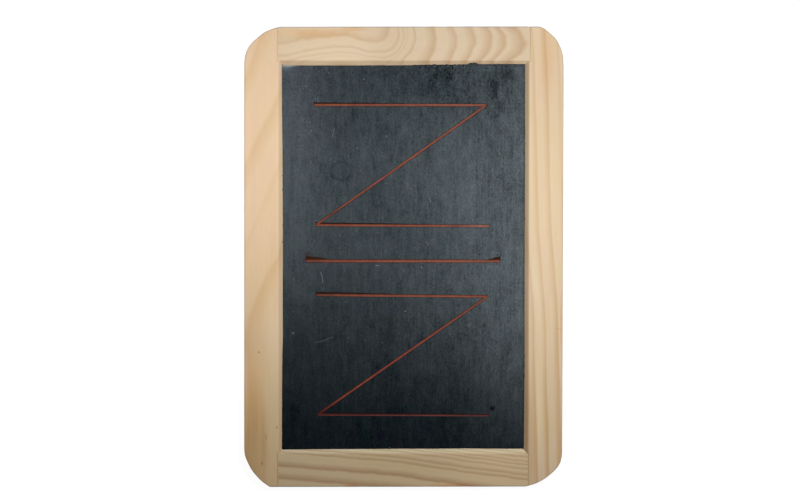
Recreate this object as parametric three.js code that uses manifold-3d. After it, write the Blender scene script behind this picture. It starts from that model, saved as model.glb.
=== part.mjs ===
// A natural slate score board in a grooved softwood frame, lying on its back.
// Millimetres. X runs across the board, Y along it to its top end, Z up out of the writing face.
// The origin is the middle of the back face.

import * as THREE from 'three';
import { mergeVertices } from 'three/addons/utils/BufferGeometryUtils.js';
import Module from 'manifold-3d';

const wasm = await Module();
wasm.setup();

// Frame
const boardWidth = 180;
const boardLength = 260;
const faceWidth = 18.8; // flat face of a stile or rail, from its outer edge to the moulding
const mouldingWidth = 2.9; // sloped moulding between the flat face and the slate
const shoulderEase = 0.83; // rounding where the slope leaves the flat face
const cheekThickness = 2.85; // wood on each side of the groove
const lipEdge = 0.55; // what the slope leaves of the cheek beside the slate
const grooveDepth = 5;
const edgeEase = 0.5; // sanding on the frame's outer arrises
const glueLine = 0.15; // all round each tongue, and along each shoulder
const shoulderLift = 0.03; // the thin end of each shoulder rides this far above the stile's moulding

// Slate
const slateThickness = 4;
const slatePlay = 0.3; // the groove is this much wider than the slate
const slateEdgeClearance = 0.5; // from the slate's edge to the bottom of the groove
const slateArris = 0.4; // the slate's edges are dressed off, to slide into the groove

// Cut lines in the slate and their paint
const zigzagFloorWidth = 1;
const centreFloorWidth = 1.2;
const cutDepth = 0.7;
const cutFlare = 0.35; // each wall of a cut leans out this far
const paintDepth = 0.35;
const paintClearance = 0.05;

// Layout of the lines: insets run from the visible edge of the slate
const rulingShift = -2.2; // the whole layout sits a little low
const zigzagSideInset = 19.5;
const zigzagEndInset = 20.9;
const zigzagCentreGap = 19.8; // from the centre line to the nearest stroke of each zigzag
const centreSideInset = 13.45;

// The board's corners are sanded by eye, so no two are alike. Each arc takes sideRun off the long
// edge and endRun off the short edge, and stands crown proud of the straight line between them.
const bottomLeftCorner = { side: -1, end: -1, sideRun: 19.2, endRun: 14.4, crown: 2.4 };
const bottomRightCorner = { side: 1, end: -1, sideRun: 14.8, endRun: 20, crown: 2.6 };
const topRightCorner = { side: 1, end: 1, sideRun: 20.4, endRun: 13.6, crown: 3.8 };
const topLeftCorner = { side: -1, end: 1, sideRun: 16, endRun: 20, crown: 3.2 };

// How far the corners of each hand-cut figure stray from the layout, across and along the board,
// corner by corner in the order that the strokes are cut
const upperZigzagDrift = [[-1.4, 0.6], [-1.1, 0.6], [-0.1, 0.5], [0.3, 0]];
const lowerZigzagDrift = [[-0.3, 0.6], [-1, -0.2], [0.6, 0.5], [-0.6, 0.1]];
const centreLineDrift = [[-0.75, 0], [-0.75, 0]];

// Where the tool ran wild at the ends of the centre line it left a gash above the cut. Fullness says
// how well the gash keeps its height on the way to its tip: a half is a straight taper.
const gashDepth = 0.45;
const leftGash = { side: -1, run: 13.5, rise: 2.7, fullness: 0.85 };
const rightGash = { side: 1, run: 9.5, rise: 2.8, fullness: 0.35 };

// Sizes that follow from the ones above
const memberWidth = faceWidth + mouldingWidth;
const grooveHeight = slateThickness + slatePlay;
const boardThickness = grooveHeight + 2 * cheekThickness;
const mouldingDrop = cheekThickness - lipEdge;
const webWidth = memberWidth - grooveDepth; // solid wood behind the groove, which is also the tongue
const halfWidth = boardWidth / 2;
const halfLength = boardLength / 2;
const openingHalfWidth = halfWidth - memberWidth;
const openingHalfLength = halfLength - memberWidth;
const slateWidth = 2 * (openingHalfWidth + grooveDepth - slateEdgeClearance);
const slateLength = 2 * (openingHalfLength + grooveDepth - slateEdgeClearance);

const overshoot = 2; // cutters run past what they cut by this much
const weldDistance = 1e-5; // corners nearer than this are one corner
const arcSegments = 8;
const easeSegments = 3;
const strokeSides = 16;

const pine = { color: 0xe3c8a2, roughness: 0.62, metalness: 0 };
const palePine = { color: 0xe9cda8, roughness: 0.62, metalness: 0 };
const greySlate = { color: 0x3a4247, roughness: 0.55, metalness: 0 };
const redPaint = { color: 0xa8502f, roughness: 0.5, metalness: 0 };

// Closed solids and back

function toSolid(geometry) {
  const bare = geometry.clone();
  bare.deleteAttribute('normal');
  bare.deleteAttribute('uv');
  const merged = mergeVertices(bare, weldDistance);
  return new wasm.Manifold(new wasm.Mesh({
    numProp: 3,
    vertProperties: new Float32Array(merged.attributes.position.array),
    triVerts: new Uint32Array(merged.index.array),
  }));
}

function toGeometry(solid) {
  const { vertProperties, triVerts } = solid.getMesh();
  const geometry = new THREE.BufferGeometry();
  geometry.setAttribute('position', new THREE.BufferAttribute(vertProperties, 3));
  geometry.setIndex(new THREE.BufferAttribute(triVerts, 1));
  geometry.computeVertexNormals();
  return geometry;
}

function block(low, high) {
  const size = high.clone().sub(low);
  const middle = low.clone().add(high).multiplyScalar(0.5);
  return toSolid(new THREE.BoxGeometry(size.x, size.y, size.z).translate(middle.x, middle.y, middle.z));
}

// The whole board as one eased slab with its four sanded corners, to trim every piece of the frame

function addCorner(shape, { side, end, sideRun, endRun, crown }) {
  const onSide = new THREE.Vector2(side * halfWidth, end * (halfLength - sideRun));
  const onEnd = new THREE.Vector2(side * (halfWidth - endRun), end * halfLength);
  // anticlockwise round the board, two of the corners are reached from their long edge
  const [first, last] = side === end ? [onSide, onEnd] : [onEnd, onSide];
  const chord = last.clone().sub(first);
  const radius = (chord.lengthSq() / 4 + crown ** 2) / (2 * crown);
  const inward = new THREE.Vector2(-chord.y, chord.x).normalize();
  const centre = first.clone().add(last).multiplyScalar(0.5).addScaledVector(inward, radius - crown);
  const angleOf = (point) => point.clone().sub(centre).angle();
  shape.absarc(centre.x, centre.y, radius, angleOf(first), angleOf(last), false);
}

function boardBlank() {
  const outline = new THREE.Shape();
  for (const corner of [bottomLeftCorner, bottomRightCorner, topRightCorner, topLeftCorner]) {
    addCorner(outline, corner);
  }
  const slab = new THREE.ExtrudeGeometry(outline, {
    depth: boardThickness - 2 * edgeEase,
    bevelThickness: edgeEase,
    bevelSize: edgeEase,
    bevelOffset: -edgeEase,
    bevelSegments: easeSegments,
    curveSegments: arcSegments,
  });
  return toSolid(slab.translate(0, 0, edgeEase));
}

const blank = boardBlank();

// Frame stock. Its outer edge is at x = 0 and its moulded edge faces +X, and it runs along Y.

function stockBar(outline, length) {
  const bar = new THREE.ExtrudeGeometry(outline, {
    depth: length,
    bevelEnabled: false,
    curveSegments: arcSegments,
  });
  return bar.translate(0, 0, -length / 2).rotateX(Math.PI / 2);
}

// The line of the moulding, from the flat face down its slope to the lip. Each point is a distance from
// the outer edge and a depth below the face. The line can be moved out over the slate and up.
function mouldingLine(out, up) {
  const start = new THREE.Vector2(faceWidth + out, -up);
  const turn = new THREE.Vector2(faceWidth + shoulderEase + out, -up);
  const lip = new THREE.Vector2(memberWidth + out, mouldingDrop - up);
  const onSlope = lip.clone().sub(turn).setLength(shoulderEase).add(turn);
  const shoulder = new THREE.QuadraticBezierCurve(start, turn, onSlope);
  return [...shoulder.getPoints(easeSegments), lip];
}

// The same line on the other face, walked the other way
function onOtherFace(line) {
  return line.map(({ x, y }) => new THREE.Vector2(x, boardThickness - y)).reverse();
}

// The moulded section, with the slate's groove in its inner edge
function stockOutline() {
  const line = mouldingLine(0, 0);
  const grooveLow = cheekThickness;
  const grooveHigh = boardThickness - cheekThickness;
  return new THREE.Shape([
    new THREE.Vector2(0, 0),
    ...line,
    new THREE.Vector2(memberWidth, grooveLow),
    new THREE.Vector2(webWidth, grooveLow),
    new THREE.Vector2(webWidth, grooveHigh),
    new THREE.Vector2(memberWidth, grooveHigh),
    ...onOtherFace(line),
    new THREE.Vector2(0, boardThickness),
  ]);
}

// The same section without the groove and larger by the glue line across its moulded edge:
// taken off the end of a rail, it leaves a shoulder that fits over a stile's moulding
function copeOutline() {
  const line = mouldingLine(glueLine, shoulderLift);
  const low = -overshoot;
  const high = boardThickness + overshoot;
  return new THREE.Shape([
    new THREE.Vector2(low, low),
    new THREE.Vector2(faceWidth + glueLine, low),
    ...line,
    ...onOtherFace(line),
    new THREE.Vector2(faceWidth + glueLine, high),
    new THREE.Vector2(low, high),
  ]);
}

// A stile runs the full length and is slotted right through at both ends for the rails' tongues

function stile(side) {
  const bar = stockBar(stockOutline(), boardLength).translate(-halfWidth, 0, 0);
  const turned = side < 0 ? bar : bar.rotateZ(Math.PI);
  let solid = toSolid(turned);
  for (const end of [-1, 1]) {
    const innerEnd = end * (halfLength - webWidth - glueLine);
    const outerEnd = end * (halfLength + overshoot);
    const slot = block(
      new THREE.Vector3(-halfWidth - overshoot, Math.min(innerEnd, outerEnd), cheekThickness),
      new THREE.Vector3(
        halfWidth + overshoot,
        Math.max(innerEnd, outerEnd),
        boardThickness - cheekThickness,
      ),
    );
    solid = solid.subtract(slot);
  }
  return solid.intersect(blank);
}

// A rail fits between the stiles. Its web goes on as a tongue through each stile to the outer edge.

function rail(end) {
  const turn = end < 0 ? 0 : Math.PI;
  const bar = stockBar(stockOutline(), boardWidth);
  bar.rotateZ(Math.PI / 2).translate(0, -halfLength, 0).rotateZ(turn);
  const cope = stockBar(copeOutline(), boardLength + 2 * overshoot).translate(-halfWidth, 0, 0);
  const leftCope = toSolid(cope);
  const rightCope = toSolid(cope.clone().rotateZ(Math.PI));
  const innerEdge = end * (halfLength - webWidth);
  const outerEdge = end * halfLength;
  const tongue = block(
    new THREE.Vector3(-halfWidth, Math.min(innerEdge, outerEdge), cheekThickness + glueLine),
    new THREE.Vector3(
      halfWidth,
      Math.max(innerEdge, outerEdge),
      boardThickness - cheekThickness - glueLine,
    ),
  );
  return toSolid(bar).subtract(leftCope).subtract(rightCope).add(tongue).intersect(blank);
}

// A straight run of the cutting tool: a cone frustum, standing on its narrow end at z = low, drawn out
// from one end of the stroke to the other. Strokes that meet share the frustum at their corner.
function strokeSolid(from, to, floorWidth, topWidth, low, height) {
  const sides = strokeSides;
  const turn = Math.PI / sides;
  const run = new THREE.CylinderGeometry(topWidth / 2, floorWidth / 2, height, sides, 1, false, turn);
  run.rotateX(Math.PI / 2).translate(0, 0, low + height / 2);
  const position = run.attributes.position;
  const along = to.clone().sub(from);
  const middle = from.clone().add(to).multiplyScalar(0.5);
  for (let i = 0; i < position.count; i += 1) {
    const spoke = new THREE.Vector2(position.getX(i), position.getY(i));
    const ahead = Math.sign(spoke.dot(along));
    const centre = [from, middle, to][ahead + 1];
    position.setXY(i, centre.x + spoke.x, centre.y + spoke.y);
  }
  return toSolid(run);
}

function figureSolid(points, floorWidth, topWidth, low, height) {
  return points.slice(1)
    .map((point, i) => strokeSolid(points[i], point, floorWidth, topWidth, low, height))
    .reduce((whole, stroke) => whole.add(stroke));
}

// Where each figure's corners lie. A zigzag is a stroke to the right, a slant back, and a stroke right.

function drifted(points, drift) {
  return points.map(([x, y], i) => new THREE.Vector2(x + drift[i][0], y + drift[i][1]));
}

function zigzagPoints(firstHeight, lastHeight, drift) {
  const reach = openingHalfWidth - zigzagSideInset;
  const layout = [
    [-reach, firstHeight],
    [reach, firstHeight],
    [-reach, lastHeight],
    [reach, lastHeight],
  ];
  return drifted(layout, drift);
}

const zigzagOuter = openingHalfLength - zigzagEndInset;
const centreReach = openingHalfWidth - centreSideInset;
const upperZigzag = zigzagPoints(rulingShift + zigzagOuter, rulingShift + zigzagCentreGap, upperZigzagDrift);
const lowerZigzag = zigzagPoints(rulingShift - zigzagCentreGap, rulingShift - zigzagOuter, lowerZigzagDrift);
const centreLine = drifted([[-centreReach, rulingShift], [centreReach, rulingShift]], centreLineDrift);

// The cut for a figure goes down from the slate's face, and the paint lies on its floor

const floorHeight = slateThickness - cutDepth;

function cut(points, floorWidth) {
  const slope = cutFlare / cutDepth;
  const height = cutDepth + overshoot;
  return figureSolid(points, floorWidth, floorWidth + 2 * slope * height, floorHeight, height);
}

function paint(points, floorWidth) {
  const slope = cutFlare / cutDepth;
  const width = floorWidth - 2 * paintClearance;
  return figureSolid(points, width, width + 2 * slope * paintDepth, floorHeight, paintDepth);
}

// A gash is drawn with its blunt end at the end of the cut and its tip towards the middle of the board
function gash({ x, y }, { side, run, rise, fullness }) {
  const tip = -side * run;
  const outline = new THREE.Shape();
  outline.moveTo(0, 0);
  outline.lineTo(tip, 0);
  outline.quadraticCurveTo(tip * fullness, rise * fullness, 0, rise);
  const scoop = new THREE.ExtrudeGeometry(outline, {
    depth: gashDepth + overshoot,
    bevelEnabled: false,
    curveSegments: arcSegments,
  });
  return toSolid(scoop.translate(x, y, slateThickness - gashDepth));
}

// The slate is modelled on its own back face, with dressed edges

function slateSheet() {
  const outline = new THREE.Shape();
  outline.moveTo(-slateWidth / 2, -slateLength / 2);
  outline.lineTo(slateWidth / 2, -slateLength / 2);
  outline.lineTo(slateWidth / 2, slateLength / 2);
  outline.lineTo(-slateWidth / 2, slateLength / 2);
  const sheet = new THREE.ExtrudeGeometry(outline, {
    depth: slateThickness - 2 * slateArris,
    bevelThickness: slateArris,
    bevelSize: slateArris,
    bevelOffset: -slateArris,
    bevelSegments: 1,
  });
  return toSolid(sheet.translate(0, 0, slateArris))
    .subtract(cut(upperZigzag, zigzagFloorWidth))
    .subtract(cut(lowerZigzag, zigzagFloorWidth))
    .subtract(cut(centreLine, centreFloorWidth))
    .subtract(gash(centreLine[0], leftGash))
    .subtract(gash(centreLine[1], rightGash));
}

function piece(name, solid, finish) {
  const mesh = new THREE.Mesh(toGeometry(solid), new THREE.MeshStandardMaterial(finish));
  mesh.name = name;
  return mesh;
}

const frame = new THREE.Group();
frame.add(piece('left_stile', stile(-1), palePine));
frame.add(piece('right_stile', stile(1), pine));
frame.add(piece('top_rail', rail(1), pine));
frame.add(piece('bottom_rail', rail(-1), palePine));

// The slate lies on the back cheeks of the groove
const slate = new THREE.Group();
slate.position.z = cheekThickness;
slate.add(piece('slate_panel', slateSheet(), greySlate));
slate.add(piece('upper_zigzag_paint', paint(upperZigzag, zigzagFloorWidth), redPaint));
slate.add(piece('centre_line_paint', paint(centreLine, centreFloorWidth), redPaint));
slate.add(piece('lower_zigzag_paint', paint(lowerZigzag, zigzagFloorWidth), redPaint));

const board = new THREE.Group();
board.add(frame, slate);

export default board;
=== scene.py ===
# %% [markdown]
# # A slate score board in a pine frame
#
# The board lies on its back on a pale table and is seen from straight above. Four lengths of moulded
# pine hold a sheet of natural slate in a groove. Two zigzags and a line between them are cut into the
# slate by hand and filled with red paint.
#
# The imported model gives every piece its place. Each cell below makes one of its pieces again with the
# marks of the hand and the machine that a plain solid lacks: sawn and torn lips, sanded corners, split
# stone, ragged cuts, dished paint. A finished piece then stands for its plain solid.

import math

import bmesh
import bpy
import numpy as np
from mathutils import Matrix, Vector


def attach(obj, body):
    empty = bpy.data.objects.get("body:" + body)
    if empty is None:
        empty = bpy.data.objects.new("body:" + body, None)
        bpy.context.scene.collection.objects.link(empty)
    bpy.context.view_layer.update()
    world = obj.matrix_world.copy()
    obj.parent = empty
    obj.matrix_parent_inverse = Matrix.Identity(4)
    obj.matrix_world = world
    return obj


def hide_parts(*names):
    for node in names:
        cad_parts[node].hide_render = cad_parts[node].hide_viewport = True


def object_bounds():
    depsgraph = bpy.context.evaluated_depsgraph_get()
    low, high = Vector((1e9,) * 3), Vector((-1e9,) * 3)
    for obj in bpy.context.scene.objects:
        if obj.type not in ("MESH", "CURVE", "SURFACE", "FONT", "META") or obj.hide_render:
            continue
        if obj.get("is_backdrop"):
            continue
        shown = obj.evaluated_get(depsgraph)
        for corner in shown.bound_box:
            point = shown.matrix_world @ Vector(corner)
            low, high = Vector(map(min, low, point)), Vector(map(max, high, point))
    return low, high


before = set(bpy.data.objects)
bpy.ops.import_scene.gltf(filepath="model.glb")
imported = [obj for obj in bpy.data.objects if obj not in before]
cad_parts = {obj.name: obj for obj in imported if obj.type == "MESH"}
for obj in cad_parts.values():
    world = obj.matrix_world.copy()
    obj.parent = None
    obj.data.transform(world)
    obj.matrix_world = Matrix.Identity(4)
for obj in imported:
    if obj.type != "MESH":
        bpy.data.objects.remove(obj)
cad_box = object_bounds()
MM = 0.001
print("CAD box in mm:", [round(v / MM, 2) for corner in cad_box for v in corner])

# %% Sizes that the pieces share, in millimetres
half_width, half_length, thickness = 90.0, 130.0, 10.0
face_width, moulding_width = 18.8, 2.9
member_width = face_width + moulding_width
cheek, lip_edge, groove_depth, glue_line = 2.85, 0.55, 5.0, 0.15
web_width = member_width - groove_depth
moulding_drop = cheek - lip_edge
lip_spare = 0.35  # the lips are made this much too wide, and then trimmed
opening_x, opening_y = half_width - member_width, half_length - member_width
slate_face, slate_back = 6.8, 2.9
print("opening in the frame:", round(2 * opening_x, 1), "x", round(2 * opening_y, 1), "mm")

# %% [markdown]
# ## Small tools
#
# Blender's nodes are wired by hand in its editor, but in a script long sums of Math nodes are hard to
# read. One small class fixes that: it wraps the output of a node, and +, -, * and / on it add the Math
# nodes. A second class adds every other node from its type, its settings and what goes in its sockets.
# Both work in a material and in a Geometry Nodes tree, which share their Math nodes.


# %% Write node trees as expressions
def operator(operation, reflected=False):
    def apply(self, other):
        return self.work(operation, *((other, self) if reflected else (self, other)))
    return apply


class Signal:
    """A number that changes over a surface or along a path. Sums on it become Math nodes."""

    def __init__(self, bench, socket):
        self.bench = bench
        self.socket = socket

    def work(self, operation, *terms):
        made = self.bench.put("ShaderNodeMath", {"operation": operation}, dict(enumerate(terms)))
        return Signal(self.bench, made[0])

    __add__ = __radd__ = operator("ADD")
    __mul__ = __rmul__ = operator("MULTIPLY")
    __sub__ = operator("SUBTRACT")
    __rsub__ = operator("SUBTRACT", reflected=True)
    __truediv__ = operator("DIVIDE")
    __pow__ = operator("POWER")
    least = operator("MINIMUM")
    most = operator("MAXIMUM")

    def __abs__(self):
        return self.work("ABSOLUTE", self)

    def root(self):
        return self.work("SQRT", self)

    def rise(self, low, high):
        """0 below low, 1 above high, and a smooth step between. It falls where low is above high."""
        falls = low > high
        sockets = {"Value": self, "From Min": min(low, high), "From Max": max(low, high)}
        sockets |= {"To Min": float(falls), "To Max": float(not falls)}
        settings = {"interpolation_type": "SMOOTHSTEP"}
        return Signal(self.bench, self.bench.put("ShaderNodeMapRange", settings, sockets)[0])


class Bench:
    """Puts nodes in one tree and joins them up."""

    def __init__(self, tree):
        self.tree = tree

    def put(self, kind, settings=None, sockets=None):
        """Adds a node, with its settings first and then what goes in its sockets. Gives its outputs."""
        node = self.tree.nodes.new(kind)
        for name, value in (settings or {}).items():
            if name == "stops":
                self.set_stops(node.color_ramp.elements, value)
            elif name == "ramp":
                node.color_ramp.interpolation = value
            else:
                setattr(node, name, value)
        for key, value in (sockets or {}).items():
            by_identifier = [s for s in node.inputs if s.identifier == key]
            socket = by_identifier[0] if by_identifier else node.inputs[key]
            value = value.socket if isinstance(value, Signal) else value
            if isinstance(value, bpy.types.NodeSocket):
                self.tree.links.new(value, socket)
            else:
                socket.default_value = (*value, 1.0) if socket.type == "RGBA" else value
        return node.outputs

    def set_stops(self, elements, stops):
        while len(elements) < len(stops):
            elements.new(1.0)
        for element, (position, height) in zip(elements, stops):
            element.position = position
            element.color = (height, height, height, 1.0)

    def signal(self, socket):
        return Signal(self, socket)

    def vector(self, x, y, z):
        return self.put("ShaderNodeCombineXYZ", None, {0: x, 1: y, 2: z})[0]

    def split(self, vector):
        """The three parts of a vector, as signals."""
        return [self.signal(part) for part in self.put("ShaderNodeSeparateXYZ", None, {0: vector})]

    def vector_work(self, operation, *terms, **more):
        sockets = {**dict(enumerate(terms)), **more}
        return self.put("ShaderNodeVectorMath", {"operation": operation}, sockets)[0]

    def noise(self, place, detail=2.0, roughness=0.5, distortion=0.0):
        """Soft random values about 0, mostly from -0.5 to 0.5, at a place (x, y, z)."""
        sockets = {"Vector": self.vector(*place), "Scale": 1.0, "Detail": detail, "Roughness": roughness}
        sockets["Distortion"] = distortion
        return self.signal(self.put("ShaderNodeTexNoise", None, sockets)[0]) - 0.5

    def mix(self, factor, first, second, way="MIX"):
        settings = {"data_type": "RGBA", "blend_type": way, "clamp_factor": True}
        sockets = {"Factor_Float": factor, "A_Color": first, "B_Color": second}
        return self.put("ShaderNodeMix", settings, sockets)[2]

    def tint(self, factor, first, second):
        return self.mix(factor, first, second, "MULTIPLY")

    def grey(self, value):
        """A number as a colour, for a Mix node that multiplies."""
        return self.put("ShaderNodeCombineColor", None, {0: value, 1: value, 2: value})[0]


print("node tools ready")

# %% [markdown]
# Meshes that follow a rule are worked out as arrays of points. `soft_noise` gives smooth random
# heights for such points: it adds up a few dozen sine waves that run in random directions, so it needs
# no grid, and a fixed seed gives the same surface each time.


# %% Make meshes from points
def soft_noise(points, wave, seed):
    """Smooth noise, about -1 to 1, at points (n, k) in mm. wave is the usual wavelength along each axis."""
    waves, usual_peak = 24, 1.7
    rng = np.random.default_rng(seed)
    points = np.asarray(points, float)
    size = np.broadcast_to(np.asarray(wave, float), (points.shape[1],))
    total = np.zeros(len(points))
    for _ in range(waves):
        direction = rng.normal(size=points.shape[1])
        direction *= rng.uniform(0.6, 1.6) / np.linalg.norm(direction)
        total += np.sin(2 * math.pi * (points / size) @ direction + rng.uniform(0, 2 * math.pi))
    return total / math.sqrt(waves / 2) / usual_peak


def link(name, data):
    made = bpy.data.objects.new(name, data)
    bpy.context.scene.collection.objects.link(made)
    return made


def make_object(name, points_mm, faces, edges=()):
    mesh = bpy.data.meshes.new(name)
    mesh.from_pydata([tuple(p) for p in np.asarray(points_mm, float) * MM], edges, faces)
    return link(name, mesh)


def get_points(made):
    values = np.empty(len(made.data.vertices) * 3)
    made.data.vertices.foreach_get("co", values)
    return values.reshape(-1, 3) / MM


def set_points(made, points_mm):
    made.data.vertices.foreach_set("co", (np.asarray(points_mm) * MM).ravel())
    made.data.update()
    return made


def face_outwards(made):
    """Merges doubles and turns every face of a closed mesh outwards."""
    working = bmesh.new()
    working.from_mesh(made.data)
    bmesh.ops.remove_doubles(working, verts=working.verts, dist=1e-7)
    bmesh.ops.recalc_face_normals(working, faces=working.faces)
    if working.calc_volume(signed=True) < 0:
        bmesh.ops.reverse_faces(working, faces=working.faces)
    working.to_mesh(made.data)
    working.free()
    made.data.update()
    return made


def tube(name, rings, around):
    """A closed tube of rings of points, each ring a closed loop of so many points."""
    points = np.concatenate(rings)
    count = len(points) // around
    faces = []
    for i in range(count - 1):
        for j in range(around):
            k = (j + 1) % around
            faces.append((i * around + j, i * around + k, (i + 1) * around + k, (i + 1) * around + j))
    faces.append(tuple(range(around - 1, -1, -1)))
    faces.append(tuple(range((count - 1) * around, count * around)))
    return face_outwards(make_object(name, points, faces))


def block(name, first, second):
    """A plain closed block between two opposite corners, as a cutting tool."""
    xs, ys, zs = (sorted(pair) for pair in zip(first, second))
    corners = [(x, y, z) for x in xs for y in ys for z in zs]
    faces = [(0, 1, 3, 2), (4, 6, 7, 5), (0, 4, 5, 1), (2, 3, 7, 6), (0, 2, 6, 4), (1, 5, 7, 3)]
    return face_outwards(make_object(name, corners, faces))


def settle(made):
    """Applies whatever modifiers are on an object and keeps the result as its plain mesh."""
    depsgraph = bpy.context.evaluated_depsgraph_get()
    result = bpy.data.meshes.new_from_object(made.evaluated_get(depsgraph))
    made.modifiers.clear()
    made.data = result
    return made


def carve(made, tool, operation="DIFFERENCE", keep_tool=False):
    """A boolean cut with a closed tool."""
    modifier = made.modifiers.new("carve", "BOOLEAN")
    modifier.operation = operation
    modifier.solver = "MANIFOLD"
    modifier.object = tool
    settle(made)
    if not keep_tool:
        bpy.data.objects.remove(tool)
    return made


def shade(made, angle_degrees):
    """Smooth shading, with hard lines only where the surface turns by more than an angle."""
    made.data.polygons.foreach_set("use_smooth", [True] * len(made.data.polygons))
    made.data.set_sharp_from_angle(angle=math.radians(angle_degrees))
    return made


def triangles(made):
    return sum(len(p.vertices) - 2 for p in made.data.polygons)


def tell(made):
    points = get_points(made)
    print(made.name, triangles(made), "triangles, from", points.min(0).round(2), "to", points.max(0).round(2))


print("mesh tools ready")

# %% [markdown]
# ## The sweep
#
# A moulding, a saw cut and a line of paint are all one thing to a maker: a section drawn along a line.
# Geometry Nodes do that well. The tree below takes a section, drawn as a closed loop of edges, and
# runs it along a straight path from one point to another. It can taper the section towards the ends,
# as a tool does where it enters and leaves, and it can shake the surface, so that a cut is ragged. The
# same tree makes the frame's four mouldings, the cutters for the lines in the slate and the paint.


# %% Build the sweep tree
def start_tree(name, inputs):
    """A tree with named inputs. Each comes with its usual value, or with the name of its kind."""
    tree = bpy.data.node_groups.new(name, "GeometryNodeTree")
    tree.is_modifier = True
    for label, usual in inputs.items():
        kind = {float: "Float", int: "Int"}.get(type(usual), usual)
        made = tree.interface.new_socket(name=label, in_out="INPUT", socket_type=f"NodeSocket{kind}")
        if kind != usual:
            made.default_value = usual
    tree.interface.new_socket(name="Geometry", in_out="OUTPUT", socket_type="NodeSocketGeometry")
    bench = Bench(tree)
    return tree, bench, bench.put("NodeGroupInput")


def end_tree(bench, geometry, material):
    """Makes plain geometry of copies, because the export drops them, and gives it its material."""
    plain = bench.put("GeometryNodeRealizeInstances", None, {"Geometry": geometry})[0]
    finished = bench.put("GeometryNodeSetMaterial", None, {"Geometry": plain, "Material": material})[0]
    bench.put("NodeGroupOutput", None, {"Geometry": finished})


def sweep_tree():
    tree, bench, given = start_tree("section along a line", {
        "Section": "Geometry", "Start": "Vector", "End": "Vector", "Step": 0.001, "Run-out": 0.0,
        "Shake": 0.0, "Shake length": 0.001, "Seed": 0.0, "Material": "Material",
    })
    section = bench.put("GeometryNodeMeshToCurve", None, {"Mesh": given["Section"]})[0]
    line_ends = {"Start": given["Start"], "End": given["End"]}
    line = bench.put("GeometryNodeCurvePrimitiveLine", None, line_ends)[0]
    steps = {"Curve": line, "Length": given["Step"]}
    path = bench.put("GeometryNodeResampleCurve", {"mode": "LENGTH"}, steps)[0]
    path = bench.put("GeometryNodeSetCurveNormal", {"mode": "Z_UP"}, {"Curve": path})[0]
    along = bench.put("GeometryNodeSplineParameter")
    done, share = bench.signal(along["Length"]), bench.signal(along["Factor"])
    to_go = (1 - share) * done / share.most(1e-6)
    run_out = bench.signal(given["Run-out"]).most(1e-9)
    near = (done.least(to_go) / run_out + 0.02).least(1.0)
    size = (1 - (1 - near) ** 2.0).root()
    sockets = {"Curve": path, "Profile Curve": section, "Scale": size, "Fill Caps": True}
    body = bench.put("GeometryNodeCurveToMesh", None, sockets)[0]
    seed = given["Seed"]
    position = bench.put("GeometryNodeInputPosition")[0]
    place = bench.vector_work("ADD", position, bench.vector(seed, seed, seed))
    scale = bench.signal(given["Shake length"]) ** -1.0
    sockets = {"Vector": place, "Scale": scale, "Detail": 3.0, "Roughness": 0.6}
    cloud = bench.put("ShaderNodeTexNoise", None, sockets)["Color"]
    middle = bench.vector_work("SUBTRACT", cloud, (0.5, 0.5, 0.5))
    offset = bench.vector_work("SCALE", middle, Scale=bench.signal(given["Shake"]) * 2.0)
    shaken = bench.put("GeometryNodeSetPosition", None, {"Geometry": body, "Offset": offset})[0]
    end_tree(bench, shaken, given["Material"])
    return tree


sweep = sweep_tree()
print("sweep tree:", len(sweep.nodes), "nodes")


# %% Run a section along a line
def use_tree(made, tree, values):
    """Puts a tree on an object, sets its inputs by their sockets' identifiers and keeps the result."""
    modifier = made.modifiers.new("rule", "NODES")
    modifier.node_group = tree
    sockets = {s.name: s.identifier for s in tree.interface.items_tree if s.in_out == "INPUT"}
    for name, value in values.items():
        modifier[sockets[name]] = value
    return face_outwards(settle(made))


def swept(name, section_mm, start_mm, end_mm, step_mm=1.0, shake_length_mm=1.0, seed=0.0, **more):
    """Runs a section along a line. Its first number is across the line, to the right, its second is up."""
    count = len(section_mm)
    edges = [(i, (i + 1) % count) for i in range(count)]
    made = make_object(name, [(x, -z, 0.0) for x, z in section_mm], [], edges)
    values = {"Start": [v * MM for v in start_mm], "End": [v * MM for v in end_mm], "Step": step_mm * MM}
    values |= {"Run-out": more.get("run_out_mm", 0.0) * MM, "Shake": more.get("shake_mm", 0.0) * MM}
    values |= {"Shake length": shake_length_mm * MM, "Seed": float(seed)}
    return use_tree(made, sweep, values)


print("inputs of the sweep:", [s.name for s in sweep.interface.items_tree if s.in_out == "INPUT"])

# %% [markdown]
# ## The frame's outline
#
# After the glue had set, the whole frame was rounded at its corners on a sander, by eye: no two corners
# are alike, and each shows a few flats where the work was turned. All the outer edges were then eased
# with paper. One closed slab carries all of this. It is built ring by ring from the outline, and every
# piece of the frame is cut to it, so that the sanding runs on across the joints as it does in life.

# %% Draw the outline with its four sanded corners
# side, end, length taken off the long edge, length taken off the short edge, rise of the arc
sanded_corners = [
    (-1, -1, 19.2, 14.4, 2.4), (1, -1, 14.8, 20.0, 2.6), (1, 1, 20.4, 13.6, 3.8), (-1, 1, 16.0, 20.0, 3.2),
]
# the real frame is a hair out of square: each corner strays by this much, and the sides follow
corner_shifts = {(-1, 1): (0.25, -0.38), (1, 1): (-0.02, 0.0), (-1, -1): (0.07, 0.12), (1, -1): (-0.38, 0.55)}


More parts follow.
